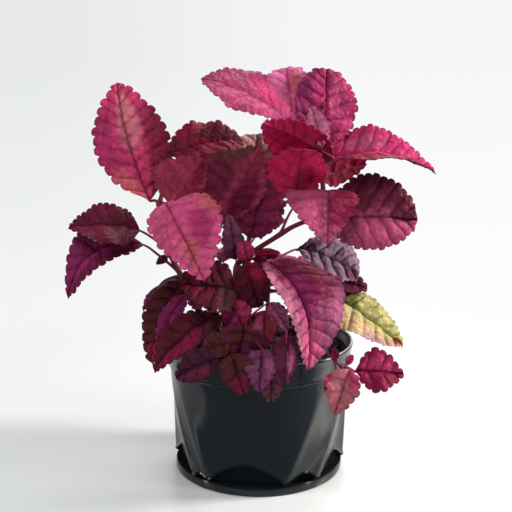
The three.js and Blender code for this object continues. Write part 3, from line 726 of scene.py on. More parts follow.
TONES = {name: np.array(linear(shade)) for name, shade in TONES.items()}
print(len(TONES), "tones")

# %% [markdown]
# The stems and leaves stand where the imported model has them, so the lists give the same round millimetres. A
# stem has a radius, a foot and a path. A leaf has its share of the way up the stem, the base and tip of its
# blade, the way its upper side looks, its width, its two tones and its marks. The rest is how it bends: arch
# and sway of the midrib, fold in degrees, where its belly is, how pointed and skewed it is, the crest of its
# stalk, and the size of its teeth and its quilting.

# %% A leaf and a stem as values
STEMS = {}


def leaf(at, base, tip, face, width, top, under, *marks, **bends):
    """One leaf's own values, with the blade's axes worked out."""
    values = dict(at=at, base=np.array(base, float), width=width, top=top, under=under, marks=marks,
                  arch=0.08, sway=0, fold=12, belly=0.42, point=1, skew=0, crest=1, tooth=6, quilt=1.2)
    values.update(bends)
    along = np.array(tip, float) - values["base"]
    values["length"] = np.linalg.norm(along)
    along /= values["length"]
    up = np.array(face, float)
    up -= along * up.dot(along)
    up /= np.linalg.norm(up)
    values.update(along=along, up=up, side=np.cross(up, along))
    return values


def note_stem(name, radius, foot, path, leaves):
    """Keeps a stem's values until it is grown."""
    STEMS[name] = dict(radius=radius, foot=foot, path=path, leaves=leaves)
    print(name, "has", len(leaves), "leaves")


# %% The right stem, the tallest
note_stem("right_stem", radius=2.4, foot=(-12, 0), path=[
    (-15, 0, 128), (-16, 0, 157), (-3, -2, 168), (10, -5, 177), (23, -8, 186), (43, -8, 197),
    (47, -4, 212), (44, 0, 232),
], leaves=[
    leaf(0.97, (36, 0, 250), (-42, 5, 294), (0.2, -0.5, 0.85), 52, "deep_pink", "crimson",
         ("crimson", 0.05, 0, 0.15, 1.2), ("rose", 0.6, 0.4, 0.25, 0.35),
         ("raspberry", 0.45, -0.5, 0.2, 0.4), fold=5, arch=0.1, belly=0.66, skew=-0.15, point=1.1,
         quilt=0.4),
    leaf(0.95, (54, -5, 237), (2, -22, 264), (0, 1, 0.5), 34, "hot_pink", "ruby",
         ("crimson", 0.1, 0, 0.2, 1.2), fold=5, skew=-0.35),
    leaf(0.98, (26, 10, 250), (21, 45, 301), (0, -0.8, 0.6), 31, "light_pink", "crimson",
         ("magenta", 0.1, 0.6, 0.35, 0.5), ("salmon", 0.7, -0.4, 0.25, 0.35),
         ("pale_rose", 0.4, -0.5, 0.2, 0.4), fold=8, belly=0.7, point=0.55, tooth=6.5, quilt=1.4),
    # The purple_plum patch is partly the leaf's own purple and partly painted shade on that side.
    leaf(0.98, (46, 5, 243), (51, 40, 300), (0.2, -0.85, 0.5), 44, "magenta", "crimson",
         ("purple_plum", 0.55, 0.95, 0.6, 0.45), ("deep_pink", 0.6, -0.4, 0.4, 0.35),
         ("wine", 0.3, 0.15, 0.3, 0.15), fold=10, belly=0.48, point=0.65, tooth=6.5, quilt=1.8),
    leaf(0.99, (46, -5, 245), (38, 5, 274), (0, -0.9, 0.4), 16, "pale_mauve", "plum", point=1.3),
    # Painted shade: the red_wine patch darkens the half that lies below the fold.
    leaf(0.98, (52, 0, 235), (131, 5, 225), (0, -0.42, 0.9), 50, "raspberry", "crimson",
         ("red_wine", 0.55, -0.8, 0.6, 0.5), ("rose", 0.3, 0.4, 0.2, 0.3), fold=28, arch=0.13, belly=0.3,
         point=1.3, tooth=5, quilt=1.1),
    leaf(0.9, (49, 5, 223), (81, 20, 230), (0, 0.9, 0.4), 29, "red_wine", "bright_crimson"),
    leaf(0.66, (26, -12, 205), (31, -30, 246), (0, 0.9, 0.4), 40, "hot_pink", "ruby",
         ("red_wine", 0.35, 0.3, 0.3, 0.5), fold=5, belly=0.58, skew=-0.1, point=0.7, quilt=0.5),
    leaf(0.85, (49, -5, 193), (115, -15, 193), (0.1, -0.9, 0.45), 56, "dusty_rose", "plum",
         ("dark_wine", 0.42, 0.75, 0.75, 0.65), ("pale_rose", 0.6, -0.5, 0.3, 0.35),
         ("grape", 0.9, 0.1, 0.2, 0.3), fold=6, belly=0.5, skew=0.15, point=0.7, quilt=1.5),
    # The crimson patch is partly the leaf's own darker colour and partly painted shadow of the leaf above it.
    leaf(0.88, (51, -10, 214), (47, -50, 182), (0, -0.6, 0.8), 50, "dusty_rose", "crimson",
         ("crimson", 0.35, 0.55, 0.5, 0.6), ("pale_rose", 0.6, -0.6, 0.3, 0.35), fold=8, belly=0.2,
         skew=-0.2, tooth=5.5, quilt=0.5),
    leaf(0.85, (46, -8, 207), (41, -12, 216), (0, -0.9, 0.4), 7, "pale_pink", "rose"),
    leaf(0.4, (-17, -6, 162), (-22, -15, 198), (0, -0.9, 0.3), 15, "grey_plum", "plum",
         ("deep_purple", 0.1, 0, 0.2, 1.2)),
    leaf(0.38, (-8, -9, 160), (-12, -20, 179), (0, -0.9, 0.3), 12, "magenta", "plum", belly=0.6,
         point=0.6),
    leaf(0.44, (-2, -6, 166), (16, -13, 168), (0, -0.6, 0.8), 6, "red_wine", "wine"),
    leaf(0.36, (-10, -13, 164), (0, -25, 130), (-0.1, -0.9, 0.3), 24, "dark_wine", "wine",
         ("red_wine", 0.15, 0.5, 0.4, 0.7), belly=0.55),
    leaf(0.97, (50, 8, 234), (86, 64, 228), (0.3, 0.2, 0.9), 40, "magenta", "crimson", arch=0.16),
    leaf(0.98, (40, 10, 236), (26, 66, 234), (-0.1, 0.2, 0.95), 33, "rose", "crimson", arch=0.14),
])

# %% The left and centre stems
note_stem("left_stem", radius=2.2, foot=(-28, 5), path=[
    (-34, 3, 112), (-41, 0, 130), (-58, -2, 149), (-66, -4, 165), (-72, -5, 180), (-73, -5, 206),
], leaves=[
    leaf(0.99, (-80, -5, 206), (-106, 25, 291), (0.15, -0.9, 0.4), 52, "bright_rose", "wine",
         ("coral", 0.68, -0.1, 0.3, 0.4), ("magenta", 0.48, 0.85, 0.3, 0.4),
         ("maroon_rose", 0.3, -0.85, 0.45, 0.5), ("salmon", 0.12, 0.7, 0.15, 0.6), fold=10, sway=0.05,
         belly=0.45, skew=-0.08, point=1.1, tooth=8, quilt=1.5),
    leaf(0.99, (-68, 15, 237), (-12, 35, 246), (0, -0.6, 0.8), 44, "red_wine", "burgundy",
         ("maroon_rose", 0.08, 0, 0.3, 1.2), ("dark_wine", 0.75, 0.4, 0.35, 0.5), belly=0.5, point=0.7,
         tooth=6.5, quilt=1.1),
    leaf(0.99, (-64, -12, 202), (-39, -27, 239), (0, 0.9, 0.4), 36, "plum", "madder",
         ("maroon_rose", 0.75, 0.5, 0.3, 0.5), skew=-0.3, point=1.2),
    leaf(0.97, (-68, -10, 205), (-38, -50, 156), (-0.1, -0.75, 0.65), 50, "rose_mauve", "crimson",
         ("pale_rose", 0.2, -0.75, 0.3, 0.4), ("magenta", 0.5, 0.5, 0.25, 0.3),
         ("salmon", 0.72, -0.1, 0.2, 0.5), ("salmon", 0.25, 0.9, 0.15, 0.25), belly=0.33, skew=0.25,
         tooth=8, quilt=1.1),
    leaf(0.76, (-88, -5, 184), (-139, -15, 187), (0, -0.5, 0.85), 48, "dark_plum", "plum",
         ("wine", 0.6, 0.4, 0.3, 0.4), ("dark_wine", 0.2, -0.4, 0.3, 0.4), fold=18, skew=0.2, point=1.1,
         tooth=5, quilt=0.6),
    # Painted highlight: the violet strip along the middle is the light on the leaf's crease.
    leaf(0.62, (-85, -10, 174), (-138, -30, 138), (-0.2, -0.8, 0.55), 31, "purple_plum", "plum",
         ("violet", 0.45, 0.1, 0.4, 0.2), ("dark_plum", 0.6, 0.8, 0.5, 0.3), arch=0.14, sway=-0.2,
         skew=-0.15, quilt=1),
    leaf(0.66, (-68, -5, 164), (-76, -8, 159), (0, -0.9, 0.4), 6, "dusky", "plum"),
    leaf(0.78, (-72, -5, 180), (-77, 0, 187), (0, -0.9, 0.4), 5, "wine", "wine"),
    leaf(0.98, (-70, 4, 212), (-60, 62, 202), (-0.1, 0.3, 0.95), 40, "magenta", "plum", arch=0.16),
    leaf(0.45, (-55, 5, 144), (-81, -9, 82), (-0.5, -0.6, 0.5), 32, "dark_brown", "dark_brown",
         ("maroon_rose", 0.9, 0.2, 0.2, 0.9), arch=0.12, tooth=7.5, quilt=2),
])
note_stem("centre_stem", radius=2.2, foot=(-7, 12), path=[
    (-9, 10, 125), (-10, 9, 157), (-7, 9, 180), (-6, 11, 203),
], leaves=[
    leaf(0.9, (-28, -2, 186), (2, -21, 248), (0, 0.9, 0.35), 56, "dusky", "old_rose",
         ("olive_brown", 0.8, -0.7, 0.2, 0.4), ("dark_plum", 0.3, 0.4, 0.4, 0.5),
         ("dusky_maroon", 0.45, -0.5, 0.25, 0.4), fold=6, belly=0.46, skew=-0.35, point=1.6, quilt=0.9),
    leaf(0.99, (-3, 15, 203), (-1, 50, 250), (0, -0.8, 0.6), 32, "peach", "rose",
         ("pale_rose", 0.4, 0.6, 0.3, 0.4), belly=0.68, point=0.6),
    leaf(0.75, (-6, 5, 176), (5, 10, 232), (0.1, -0.9, 0.3), 38, "purple_wine", "deep_purple",
         ("mauve", 0.55, 0.9, 0.45, 0.22), fold=5, quilt=0.9),
    leaf(0.95, (-10, 18, 198), (-40, 66, 190), (-0.2, 0.1, 1), 46, "magenta", "plum", arch=0.18),
    leaf(0.95, (0, 20, 198), (32, 68, 196), (0.2, 0.1, 1), 44, "rose", "plum", arch=0.16),
    leaf(0.72, (-4, 20, 173), (2, 76, 162), (0, 0.3, 1), 44, "wine", "plum", arch=0.2),
])

# %% The two front stems
note_stem("front_right_stem", radius=2, foot=(3, -11), path=[
    (6, -13, 120), (7, -12, 145), (8, -8, 163),
], leaves=[
    # Painted shade: the wine patch darkens the blade's upper part near its stalk, which lies in shade.
    leaf(0.98, (6, -16, 162), (33, -71, 97), (0.3, -0.75, 0.5), 48, "mauve", "plum",
         ("wine", 0.15, 0.3, 0.4, 0.9), ("pale_rose", 0.85, -0.2, 0.3, 0.8),
         ("pale_pink", 0.5, -0.9, 0.4, 0.3), ("purple_plum", 0.4, 0.1, 0.3, 0.3), arch=0.14, sway=0.1,
         belly=0.34, skew=0.4, point=0.8, tooth=5, quilt=1.5),
    leaf(0.97, (29, 4, 168), (75, 0, 148), (0, -0.5, 0.85), 42, "lilac_grey", "plum",
         ("deep_purple", 0.05, 0.6, 0.25, 0.6), ("dusky", 0.9, -0.4, 0.15, 0.6), belly=0.55, point=0.7,
         tooth=5, quilt=2),
    leaf(0.75, (54, -6, 135), (106, -25, 100), (0.3, -0.7, 0.7), 36, "green", "tan",
         ("dark_olive", 0.12, 0.5, 0.2, 0.8), ("tan", 0.5, -0.75, 0.5, 0.5), ("rust", 0.97, 0, 0.12, 1),
         ("peach", 0.75, -0.9, 0.2, 0.3), arch=0.05, belly=0.36, skew=-0.15, point=0.9, tooth=4.5,
         quilt=1.5),
    leaf(0.8, (50, 3, 144), (82, 2, 137), (0, -0.6, 0.8), 20, "dark_maroon", "wine"),
    leaf(0.85, (4, 2, 144), (8, 6, 168), (0, -0.9, 0.3), 20, "wine", "wine", belly=0.6, point=0.6),
])
note_stem("front_left_stem", radius=1.9, foot=(-22, -16), path=[
    (-23, -17, 112), (-29, -16, 130), (-38, -9, 146),
], leaves=[
    leaf(0.9, (-18, -27, 143), (-57, -38, 150), (-0.1, -0.7, 0.7), 42, "dark_wine", "plum",
         ("olive_brown", 0.12, 0.5, 0.25, 0.6), ("wine", 0.7, 0.3, 0.3, 0.4), belly=0.36, point=0.8),
    leaf(0.7, (-23, -24, 136), (-12, -31, 118), (0, -0.8, 0.6), 21, "magenta", "plum",
         ("crimson", 0.2, 0, 0.3, 0.6), belly=0.6, point=0.6),
    leaf(0.97, (-54, -13, 137), (-75, -25, 103), (-0.3, -0.8, 0.5), 15, "purple_plum", "plum"),
    leaf(0.6, (-28, -27, 125), (-75, -49, 89), (-0.3, -0.6, 0.7), 31, "dark_wine", "plum",
         ("crimson", 0.65, 0.5, 0.35, 0.45), arch=0.14),
    leaf(0.45, (-46, -34, 108), (-70, -44, 93), (-0.3, -0.7, 0.6), 12, "leaf_green", "green"),
])

# %% The low shoots and the sprig
note_stem("low_front_stem", radius=1.7, foot=(-10, -34), path=[
    (-12, -36, 104), (-11, -38, 116), (-7, -38, 128),
], leaves=[
    leaf(0.45, (-27, -62, 103), (-58, -64, 89), (-0.2, -0.7, 0.7), 25, "deep_grape", "plum",
         ("dark_plum", 0.5, 0.6, 0.3, 0.3), arch=0.14, point=1.1, crest=5),
    leaf(0.75, (-9, -42, 123), (-16, -56, 97), (0, -0.8, 0.6), 36, "deep_purple", "dark_brown",
         ("dark_brown", 0.3, 0, 0.3, 0.8), belly=0.55, point=0.7),
    leaf(0.65, (-21, -53, 112), (-41, -57, 107), (0, -0.8, 0.6), 19, "brown", "brown"),
    leaf(0.55, (-19, -63, 107), (-10, -78, 82), (-0.1, -0.8, 0.6), 22, "dark_brown", "brown",
         ("wine", 0.85, 0, 0.3, 1.1), arch=0.14),
    leaf(0.8, (2, -62, 110), (0, -80, 85), (0, -0.85, 0.5), 20, "plum_lilac", "plum",
         ("grape", 0.5, 0, 0.4, 0.15), ("mauve", 0.4, 0.6, 0.25, 0.3), arch=0.12),
    leaf(0.97, (5, -38, 131), (2, -52, 105), (0, -0.85, 0.4), 16, "maroon_rose", "rose",
         ("dusty_rose", 0.5, -0.5, 0.35, 0.4)),
    leaf(0.97, (8, -33, 136), (20, -42, 117), (0.2, -0.8, 0.5), 13, "mauve", "plum"),
    leaf(0.7, (8, -72, 103), (8, -78, 77), (0, -0.9, 0.3), 17, "dusky_brown", "dusky", crest=6),
])
note_stem("low_right_stem", radius=1.5, foot=(12, -34), path=[
    (14, -38, 104), (17, -43, 114), (20, -48, 120),
], leaves=[
    leaf(0.8, (12, -54, 113), (26, -62, 105), (0, -0.85, 0.5), 18, "grape", "plum"),
    leaf(0.97, (19, -60, 118), (18, -81, 91), (0, 0.8, 0.4), 14, "rose", "grape",
         ("mauve", 0.5, -0.5, 0.4, 0.25), arch=-0.1),
])
note_stem("right_sprig", radius=1.1, foot=(27, -38), path=[
    (31, -42, 101), (38, -48, 105), (46, -54, 105), (58, -63, 97),
], leaves=[
    leaf(0.99, (67, -62, 94), (102, -60, 91), (0.1, -0.8, 0.6), 30, "crimson", "plum",
         ("magenta", 0.5, 0.4, 0.4, 0.4), point=1.5),
    leaf(0.98, (63, -64, 96), (52, -80, 69), (-0.1, -0.85, 0.5), 21, "dull_salmon", "rose",
         ("magenta", 0.15, 0.6, 0.3, 0.5)),
    leaf(0.9, (54, -65, 92), (46, -74, 82), (0, -0.9, 0.3), 12, "magenta", "plum"),
    leaf(0.98, (61, -60, 98), (66, -56, 104), (0, -0.8, 0.6), 5, "magenta", "plum"),
    leaf(0.93, (54, -60, 102), (52, -58, 110), (0, -0.9, 0.3), 5, "crimson", "wine"),
])

# %% The two back stems
note_stem("back_left_stem", radius=2, foot=(-30, 34), path=[
    (-36, 38, 115), (-38, 40, 138), (-36, 42, 158),
], leaves=[
    leaf(0.97, (-42, 46, 160), (-72, 62, 186), (-0.4, 0.3, 0.8), 40, "rose", "plum"),
    leaf(0.97, (-34, 48, 154), (-30, 94, 138), (0, 0.3, 1), 42, "magenta", "plum", arch=0.16),
    leaf(0.7, (-44, 40, 138), (-92, 34, 112), (-0.3, 0.2, 0.9), 40, "wine", "plum", arch=0.16),
    leaf(0.68, (-36, 46, 134), (-52, 88, 96), (-0.3, 0.6, 0.7), 38, "rose_mauve", "plum", arch=0.18),
    leaf(0.45, (-26, 46, 118), (-16, 84, 86), (0, 0.7, 0.7), 34, "crimson", "plum", arch=0.16),
])
note_stem("back_right_stem", radius=2, foot=(28, 30), path=[
    (33, 34, 112), (35, 36, 132), (34, 38, 150),
], leaves=[
    leaf(0.97, (40, 42, 152), (74, 60, 172), (0.4, 0.3, 0.8), 40, "magenta", "plum"),
    leaf(0.97, (32, 44, 148), (30, 88, 132), (0, 0.3, 1), 40, "rose_mauve", "plum", arch=0.16),
    leaf(0.7, (40, 38, 132), (86, 36, 110), (0.3, 0.2, 0.9), 38, "wine", "plum", arch=0.16),
    leaf(0.68, (36, 42, 128), (54, 82, 94), (0.3, 0.6, 0.7), 36, "magenta", "plum", arch=0.18),
])

# %% [markdown]
# A blade is cut and bent like paper. The blank is flat: widest at its belly, with rounded teeth along its
# margin. The teeth are a few millimetres apart, fade out at both ends and are never quite alike. The grid's
# columns are spaced along the margin, so that each tooth gets the same few steps. Each leaf could be traced
# by hand, but a formula with a few values serves them all.

# %% The blank's outline
STEPS_PER_TOOTH = 6
FEWEST_TEETH, TEETH_PER_LENGTH = 4, 6
MARGIN_SAMPLES = 600
SLOPE_STEP = 0.01
LOBE_POWER = 0.8
TEETH_START, TEETH_END = (0.03, 0.16), (0.93, 1)
TOOTH_UNEVEN, TOOTH_BEAT = 0.25, 2.4
TOOTH_DEPTH = 0.34
DEPTHS_ACROSS = 12
TOOTH_ROOT = 5


def half_width(leaf, along, half=0):
    """Half the blade's width without teeth, at shares from base to tip, on the half named by 1 or -1."""
    belly = leaf["belly"]
    base_power = leaf["point"] * belly / (1 - belly)
    widest = belly ** base_power * (1 - belly) ** leaf["point"]
    even = leaf["width"] / 2 * along ** base_power * (1 - along) ** leaf["point"] / widest
    return even * (1 + half * leaf["skew"])


def margin_places(leaf):
    """Shares from base to tip that are evenly spaced along the margin, a few to each tooth."""
    fine = np.linspace(0, 1, MARGIN_SAMPLES)
    steps = np.hypot(np.diff(fine) * leaf["length"], np.diff(half_width(leaf, fine)))
    walked = np.concatenate([[0], np.cumsum(steps)])
    teeth = max(FEWEST_TEETH, round(walked[-1] / min(leaf["tooth"], leaf["length"] / TEETH_PER_LENGTH)))
    places = np.interp(np.linspace(0, walked[-1], teeth * STEPS_PER_TOOTH + 1), walked, fine)
    return places, walked[-1] / teeth


def flat_places(leaf, column, across):
    """Each vertex of the blank: along the midrib, across it, its share along, and how far out on a tooth."""
    places, pitch = margin_places(leaf)
    share = places[column]
    which = np.sign(across)
    half = half_width(leaf, share, which)
    ahead = (half_width(leaf, np.clip(share + SLOPE_STEP, 0, 1), which)
             - half_width(leaf, np.clip(share - SLOPE_STEP, 0, 1), which))
    tilt = np.arctan(ahead / (2 * SLOPE_STEP * leaf["length"]))
    phase = (column % STEPS_PER_TOOTH) / STEPS_PER_TOOTH
    lobe = np.sqrt(np.clip(1 - (2 * phase ** LOBE_POWER - 1) ** 2, 0, 1))
    fade = smooth(share, *TEETH_START) * (1 - smooth(share, *TEETH_END))
    uneven = 1 + TOOTH_UNEVEN * np.sin(TOOTH_BEAT * (column // STEPS_PER_TOOTH) + which)
    depth = min(TOOTH_DEPTH * pitch, leaf["width"] / DEPTHS_ACROSS)
    tooth = depth * uneven * lobe * fade * np.abs(across) ** TOOTH_ROOT
    x = share * leaf["length"] - tooth * np.sin(tilt)
    y = which * (np.abs(across) * half + tooth * np.cos(tilt))
    return x, y, share, lobe * fade


# %% [markdown]
# Side veins leave the midrib and lean towards the tip. Between them the blade bulges up in a row of
# blisters, which is what makes a coleus look quilted. They could be carved one by one. Here a count that
# rises along the midrib says how near the next vein is, and the same places later darken the veins.

# %% Veins and quilting
RIB_SPACING, FEWEST_RIBS = 9, 4
RIB_LEAN, RIB_CURVE, RIB_STRAY = 0.9, 0.35, 0.13
RIB_START = 0.2
HALVES_SHIFT = 0.25
CELL_LENGTH, CELL_SHIFT, CELL_STRAY = 6, 0.37, 0.3
MIDRIB_WIDTH, RIB_WIDTH, CROSS_WIDTH = 0.9, 0.7, 0.9


def vein_net(leaf, x, y, stray):
    """How strongly each place is on the midrib, a side vein or a cross vein, and how high it bulges."""
    reach = np.abs(y) / leaf["length"]
    count = max(FEWEST_RIBS, round(leaf["length"] / RIB_SPACING))
    start = (x / leaf["length"] - RIB_START * reach) / (1 + RIB_LEAN * reach)
    phase = count * start + np.where(y > 0, HALVES_SHIFT, 0) + RIB_CURVE * reach + RIB_STRAY * stray
    off = np.abs(phase - np.round(phase)) * leaf["length"] / count
    midrib = np.exp(-(y / MIDRIB_WIDTH) ** 2)
    side = np.exp(-(off / RIB_WIDTH) ** 2)
    cell = np.abs(y) / CELL_LENGTH + CELL_SHIFT * np.floor(phase) + CELL_STRAY * stray
    cross = np.exp(-((cell - np.round(cell)) * CELL_LENGTH / CROSS_WIDTH) ** 2)
    bulge = np.sqrt(np.abs(np.sin(math.pi * phase)))
    return midrib, side, cross * bulge, bulge * (1 - midrib)


def waves(x, y, sizes, rng):
    """The mean of waves of some sizes, each in a random way, from -1 to 1."""
    return sum(wave(x, y, size, rng) for size in sizes) / len(sizes)


# %% [markdown]
# No leaf is flat. The midrib arches and may sway to one side, the two halves fold up from it like a
# half-open book, each half is slightly cupped, and the margin is ruffled. A lattice could bend them one by
# one. One rule bends every blade here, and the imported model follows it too, so both have the same shape.

# %% Bending
BLADE_CUP = 0.1
RUFFLE = 0.05
RUFFLE_WAVES = 2.3
RUFFLE_SHIFT = 0.35


def bend(leaf, x, y, lift):
    """Bends flat places of the blade: arch and sway along the midrib, fold, cup and ruffle across it."""
    share = x / leaf["length"]
    half = leaf["width"] / 2
    across = y / half
    bow = 4 * share * (1 - share) * leaf["length"]
    fold = math.radians(leaf["fold"])
    ruffle = RUFFLE * np.sin(2 * math.pi * (RUFFLE_WAVES * share + np.where(y > 0, RUFFLE_SHIFT, 0)))
    rise = np.abs(y) * math.sin(fold) + (ruffle - BLADE_CUP) * half * across ** 2 + lift
    return (leaf["base"] + np.outer(x, leaf["along"])
            + np.outer(y * math.cos(fold) + leaf["sway"] * bow, leaf["side"])
            + np.outer(rise + leaf["arch"] * bow, leaf["up"]))


# %% [markdown]
# A painter would lay the main tone, then patches, then a painted highlight on the blisters and darker veins,
# and last the thin rim. The blade is painted in that order, into one colour for each of its places on each
# side.

# %% Painting a blade
PATCH_COVER, PATCH_EDGE = 0.9, (0.7, 1.15)
RAGGED, RAGGED_SIZES = 0.25, (17, 11, 7, 4.3)
MOTTLE, MOTTLE_SIZES = 0.18, (9, 6.1, 4.2, 3.1)
CLOUD, CLOUD_SIZES = 0.2, (52, 37, 26)
# The painted highlight on the blisters' tops: how much of it, how much lighter and how much warmer.
BLISTER_HIGHLIGHT_COVER, BLISTER_HIGHLIGHT_GAIN, BLISTER_HIGHLIGHT_WARMTH = 0.42, 1.7, [0.03, 0.008, 0.014]
CROSS_DIP = 0.4
DARKER = 0.5
MIDRIB_COVER, RIB_COVER, CROSS_COVER, MOST_COVER = 0.34, 0.32, 0.1, 0.7
RIM_COVER, RIM_START = 0.5, 0.95


def over(colour, tone, cover):
    """Lays a tone over a colour, as thickly as cover says."""
    return colour + (tone - colour) * cover[:, None]


def paint(leaf, tone, share, across, net, rng, x, y):
    """One colour for each place of a blade's side, from its main tone, its patches and its veins."""
    midrib, side, cross, bulge = net
    colour = np.tile(TONES[tone], (len(share), 1))
    ragged = RAGGED * waves(x, y, RAGGED_SIZES, rng)
    for patch, place, place_across, reach, reach_across in leaf["marks"]:
        far = np.hypot((share - place) / reach, (across - place_across) / reach_across)
        colour = over(colour, TONES[patch], PATCH_COVER * (1 - smooth(far + ragged, *PATCH_EDGE)))
    mottle = waves(x, y, MOTTLE_SIZES, rng)
    cloud = waves(x, y, CLOUD_SIZES, rng)
    colour = colour * (1 + MOTTLE * mottle + CLOUD * cloud)[:, None]
    # Painted highlight: the tops of the blisters are lightened where light falls on them, less over the cross
    # veins.
    blister_highlight = np.minimum(colour * BLISTER_HIGHLIGHT_GAIN + BLISTER_HIGHLIGHT_WARMTH, 1)
    colour = over(colour, blister_highlight, BLISTER_HIGHLIGHT_COVER * bulge * (1 - CROSS_DIP * cross))
    vein = np.clip(MIDRIB_COVER * midrib + RIB_COVER * side + CROSS_COVER * cross, 0, MOST_COVER)
    colour = over(colour, colour * DARKER, vein)
    colour = over(colour, colour * DARKER, RIM_COVER * smooth(np.abs(across), RIM_START, 1))
    return np.column_stack([np.clip(colour, 0, 1), np.ones(len(colour))])


def dress(piece, upper, lower):
    """Lays a piece's two tints on its vertices and gives it the leaf's three finishes."""
    for name, colours in (("upper_tint", upper), ("lower_tint", lower)):
        layer = piece.data.color_attributes.new(name, "FLOAT_COLOR", "POINT")
        layer.data.foreach_set("color", colours.ravel())
    for finish in (UPPER_FINISH, LOWER_FINISH, STALK_FINISH):
        piece.data.materials.append(finish)


# %% [markdown]
# The grid becomes a blade in this order: cut to the outline, lifted between the veins and along the margin,
# bent, painted on both sides, and thickened last. The flat places are kept as a second set of coordinates,
# so that the skin's fine net bends along with the leaf instead of cutting through it.

# %% Making a blade
BLADE_THICKNESS = 0.6
ROW_WIDTH, HALF_ROWS = 1.6, (5, 17)
MARGIN_CROWDING = 1.25
STRAY_SIZES = (27, 19, 12)
EDGE_START, EDGE_DROP = 0.7, 0.65
FULL_QUILT_WIDTH = 30
CROSS_GROOVE, RIB_GROOVE = 0.25, 0.5
WARP, WARP_SIZES = 1.3, (31, 23, 17)
TOOTH_LIFT, LIFT_ROOT = 0.35, 6
SKIN_UNIT = 100


def make_blade(leaf, seed):
    """A grid becomes the toothed, quilted and bent blade, and then gets its thickness."""
    rng = np.random.default_rng(seed)
    columns = len(margin_places(leaf)[0]) - 1
    half_rows = int(np.clip(leaf["width"] / 2 / ROW_WIDTH, *HALF_ROWS))
    blade, along, over_width = grid_blank("blade", columns, 2 * half_rows)
    column = np.round(along * columns).astype(int)
    row = 2 * over_width - 1
    across = np.sign(row) * (1 - (1 - np.abs(row)) ** MARGIN_CROWDING)
    x, y, share, lobe = flat_places(leaf, column, across)
    net = vein_net(leaf, x, y, waves(x, y, STRAY_SIZES, rng))
    midrib, side, cross, bulge = net
    edge = 1 - EDGE_DROP * smooth(np.abs(across), EDGE_START, 1)
    size = min(1, leaf["width"] / FULL_QUILT_WIDTH)
    quilt = bulge * edge * (1 - CROSS_GROOVE * cross) - RIB_GROOVE * side * edge - RIB_GROOVE * midrib
    lift = leaf["quilt"] * size * quilt
    lift += WARP * size * waves(x, y, WARP_SIZES, rng) + TOOTH_LIFT * lobe * np.abs(across) ** LIFT_ROOT
    move_to(blade, bend(leaf, x, y, lift))
    dress(blade, *(paint(leaf, leaf[tone], share, across, net, rng, x, y) for tone in ("top", "under")))
    corner = np.empty(len(blade.data.loops), int)
    blade.data.loops.foreach_get("vertex_index", corner)
    flat = np.column_stack([x, y])[corner] / SKIN_UNIT + rng.uniform(0, 1, 2)
    blade.data.uv_layers[0].data.foreach_set("uv", flat.ravel())
    in_edit_mode(blade, weld)
    wall = blade.modifiers.new("thickness", "SOLIDIFY")
    wall.thickness = BLADE_THICKNESS * MM
    wall.offset = 0
    wall.material_offset = 1
    bpy.ops.object.modifier_apply(modifier=wall.name)
    return blade


# %% [markdown]
# Coleus belongs to the mint family, so its stems are square with soft corners, a little thicker where leaves
# leave them. A stem could be a curve with a bevel. A grid rolled into a tube does the same and lets the
# thickness and the colour change along the way. The path is a curve that runs through all its points.

# %% Tubes along a path
CURVE_SAMPLES = 40
OFF_PATH = [0.3, 1, 0.1]


def smooth_path(points, count):
    """A smooth curve through points, as count + 1 places evenly spaced along it."""
    spots = np.array(points, float)
    spots = np.vstack([2 * spots[0] - spots[1], spots, 2 * spots[-1] - spots[-2]])
    gap = np.sqrt(np.linalg.norm(np.diff(spots, axis=0), axis=1))
    t = np.linspace(0, 1, CURVE_SAMPLES)[:, None]
    pieces = []
    for i in range(1, len(spots) - 2):
        a, b, c, d = spots[i - 1:i + 3]
        before, here, after = gap[i - 1:i + 2]
        leaving = here * ((b - a) / before - (c - a) / (before + here) + (c - b) / here)
        arriving = here * ((c - b) / here - (d - b) / (here + after) + (d - c) / after)
        pieces.append((2 * t ** 3 - 3 * t ** 2 + 1) * b + (t ** 3 - 2 * t ** 2 + t) * leaving
                      + (3 * t ** 2 - 2 * t ** 3) * c + (t ** 3 - t ** 2) * arriving)
    curve = np.vstack(pieces)
    walked = np.concatenate([[0], np.cumsum(np.linalg.norm(np.diff(curve, axis=0), axis=1))])
    even = np.linspace(0, walked[-1], count + 1)
    return np.column_stack([np.interp(even, walked, curve[:, axis]) for axis in range(3)])


def make_tube(name, path, radius, squareness, sides, tones):
    """A grid rolled round a path. Squareness 2 is round, and 5 is square with soft corners."""
    steps = len(path) - 1
    tube, around, along = grid_blank(name, sides, steps + 2)
    step = np.clip(np.round(along * (steps + 2)).astype(int) - 1, 0, steps)
    closing = (along < 0.5 / (steps + 2)) | (along > 1 - 0.5 / (steps + 2))
    ahead = np.gradient(path, axis=0)
    ahead /= np.linalg.norm(ahead, axis=1)[:, None]
    first = np.cross(ahead[0], OFF_PATH)
    normals = [first / np.linalg.norm(first)]
    for way in ahead[1:]:
        turned = normals[-1] - way * normals[-1].dot(way)
        normals.append(turned / np.linalg.norm(turned))
    normals = np.array(normals)
    across = np.cross(ahead, normals)
    angle = 2 * math.pi * around
    c, s = np.cos(angle), np.sin(angle)
    size = radius[step] / (np.abs(c) ** squareness + np.abs(s) ** squareness) ** (1 / squareness)
    size = np.where(closing, 0, size)[:, None]
    move_to(tube, path[step] + size * (c[:, None] * normals[step] + s[:, None] * across[step]))
    tint = np.column_stack([tones[step], np.ones(len(step))])
    dress(tube, tint, tint)
    in_edit_mode(tube, weld, face_outwards)
    for face in tube.data.polygons:
        face.material_index = 2
    return tube


# %% [markdown]
# A stem stands in its hole down to a fixed depth, runs straight through the soil's surface and tapers
# upwards from dark maroon to crimson. A leaf's stalk leaves it a little thickened, arches up to a crest, and
# ends inside the blade as the start of its midrib. Its tone goes over into the leaf's own.

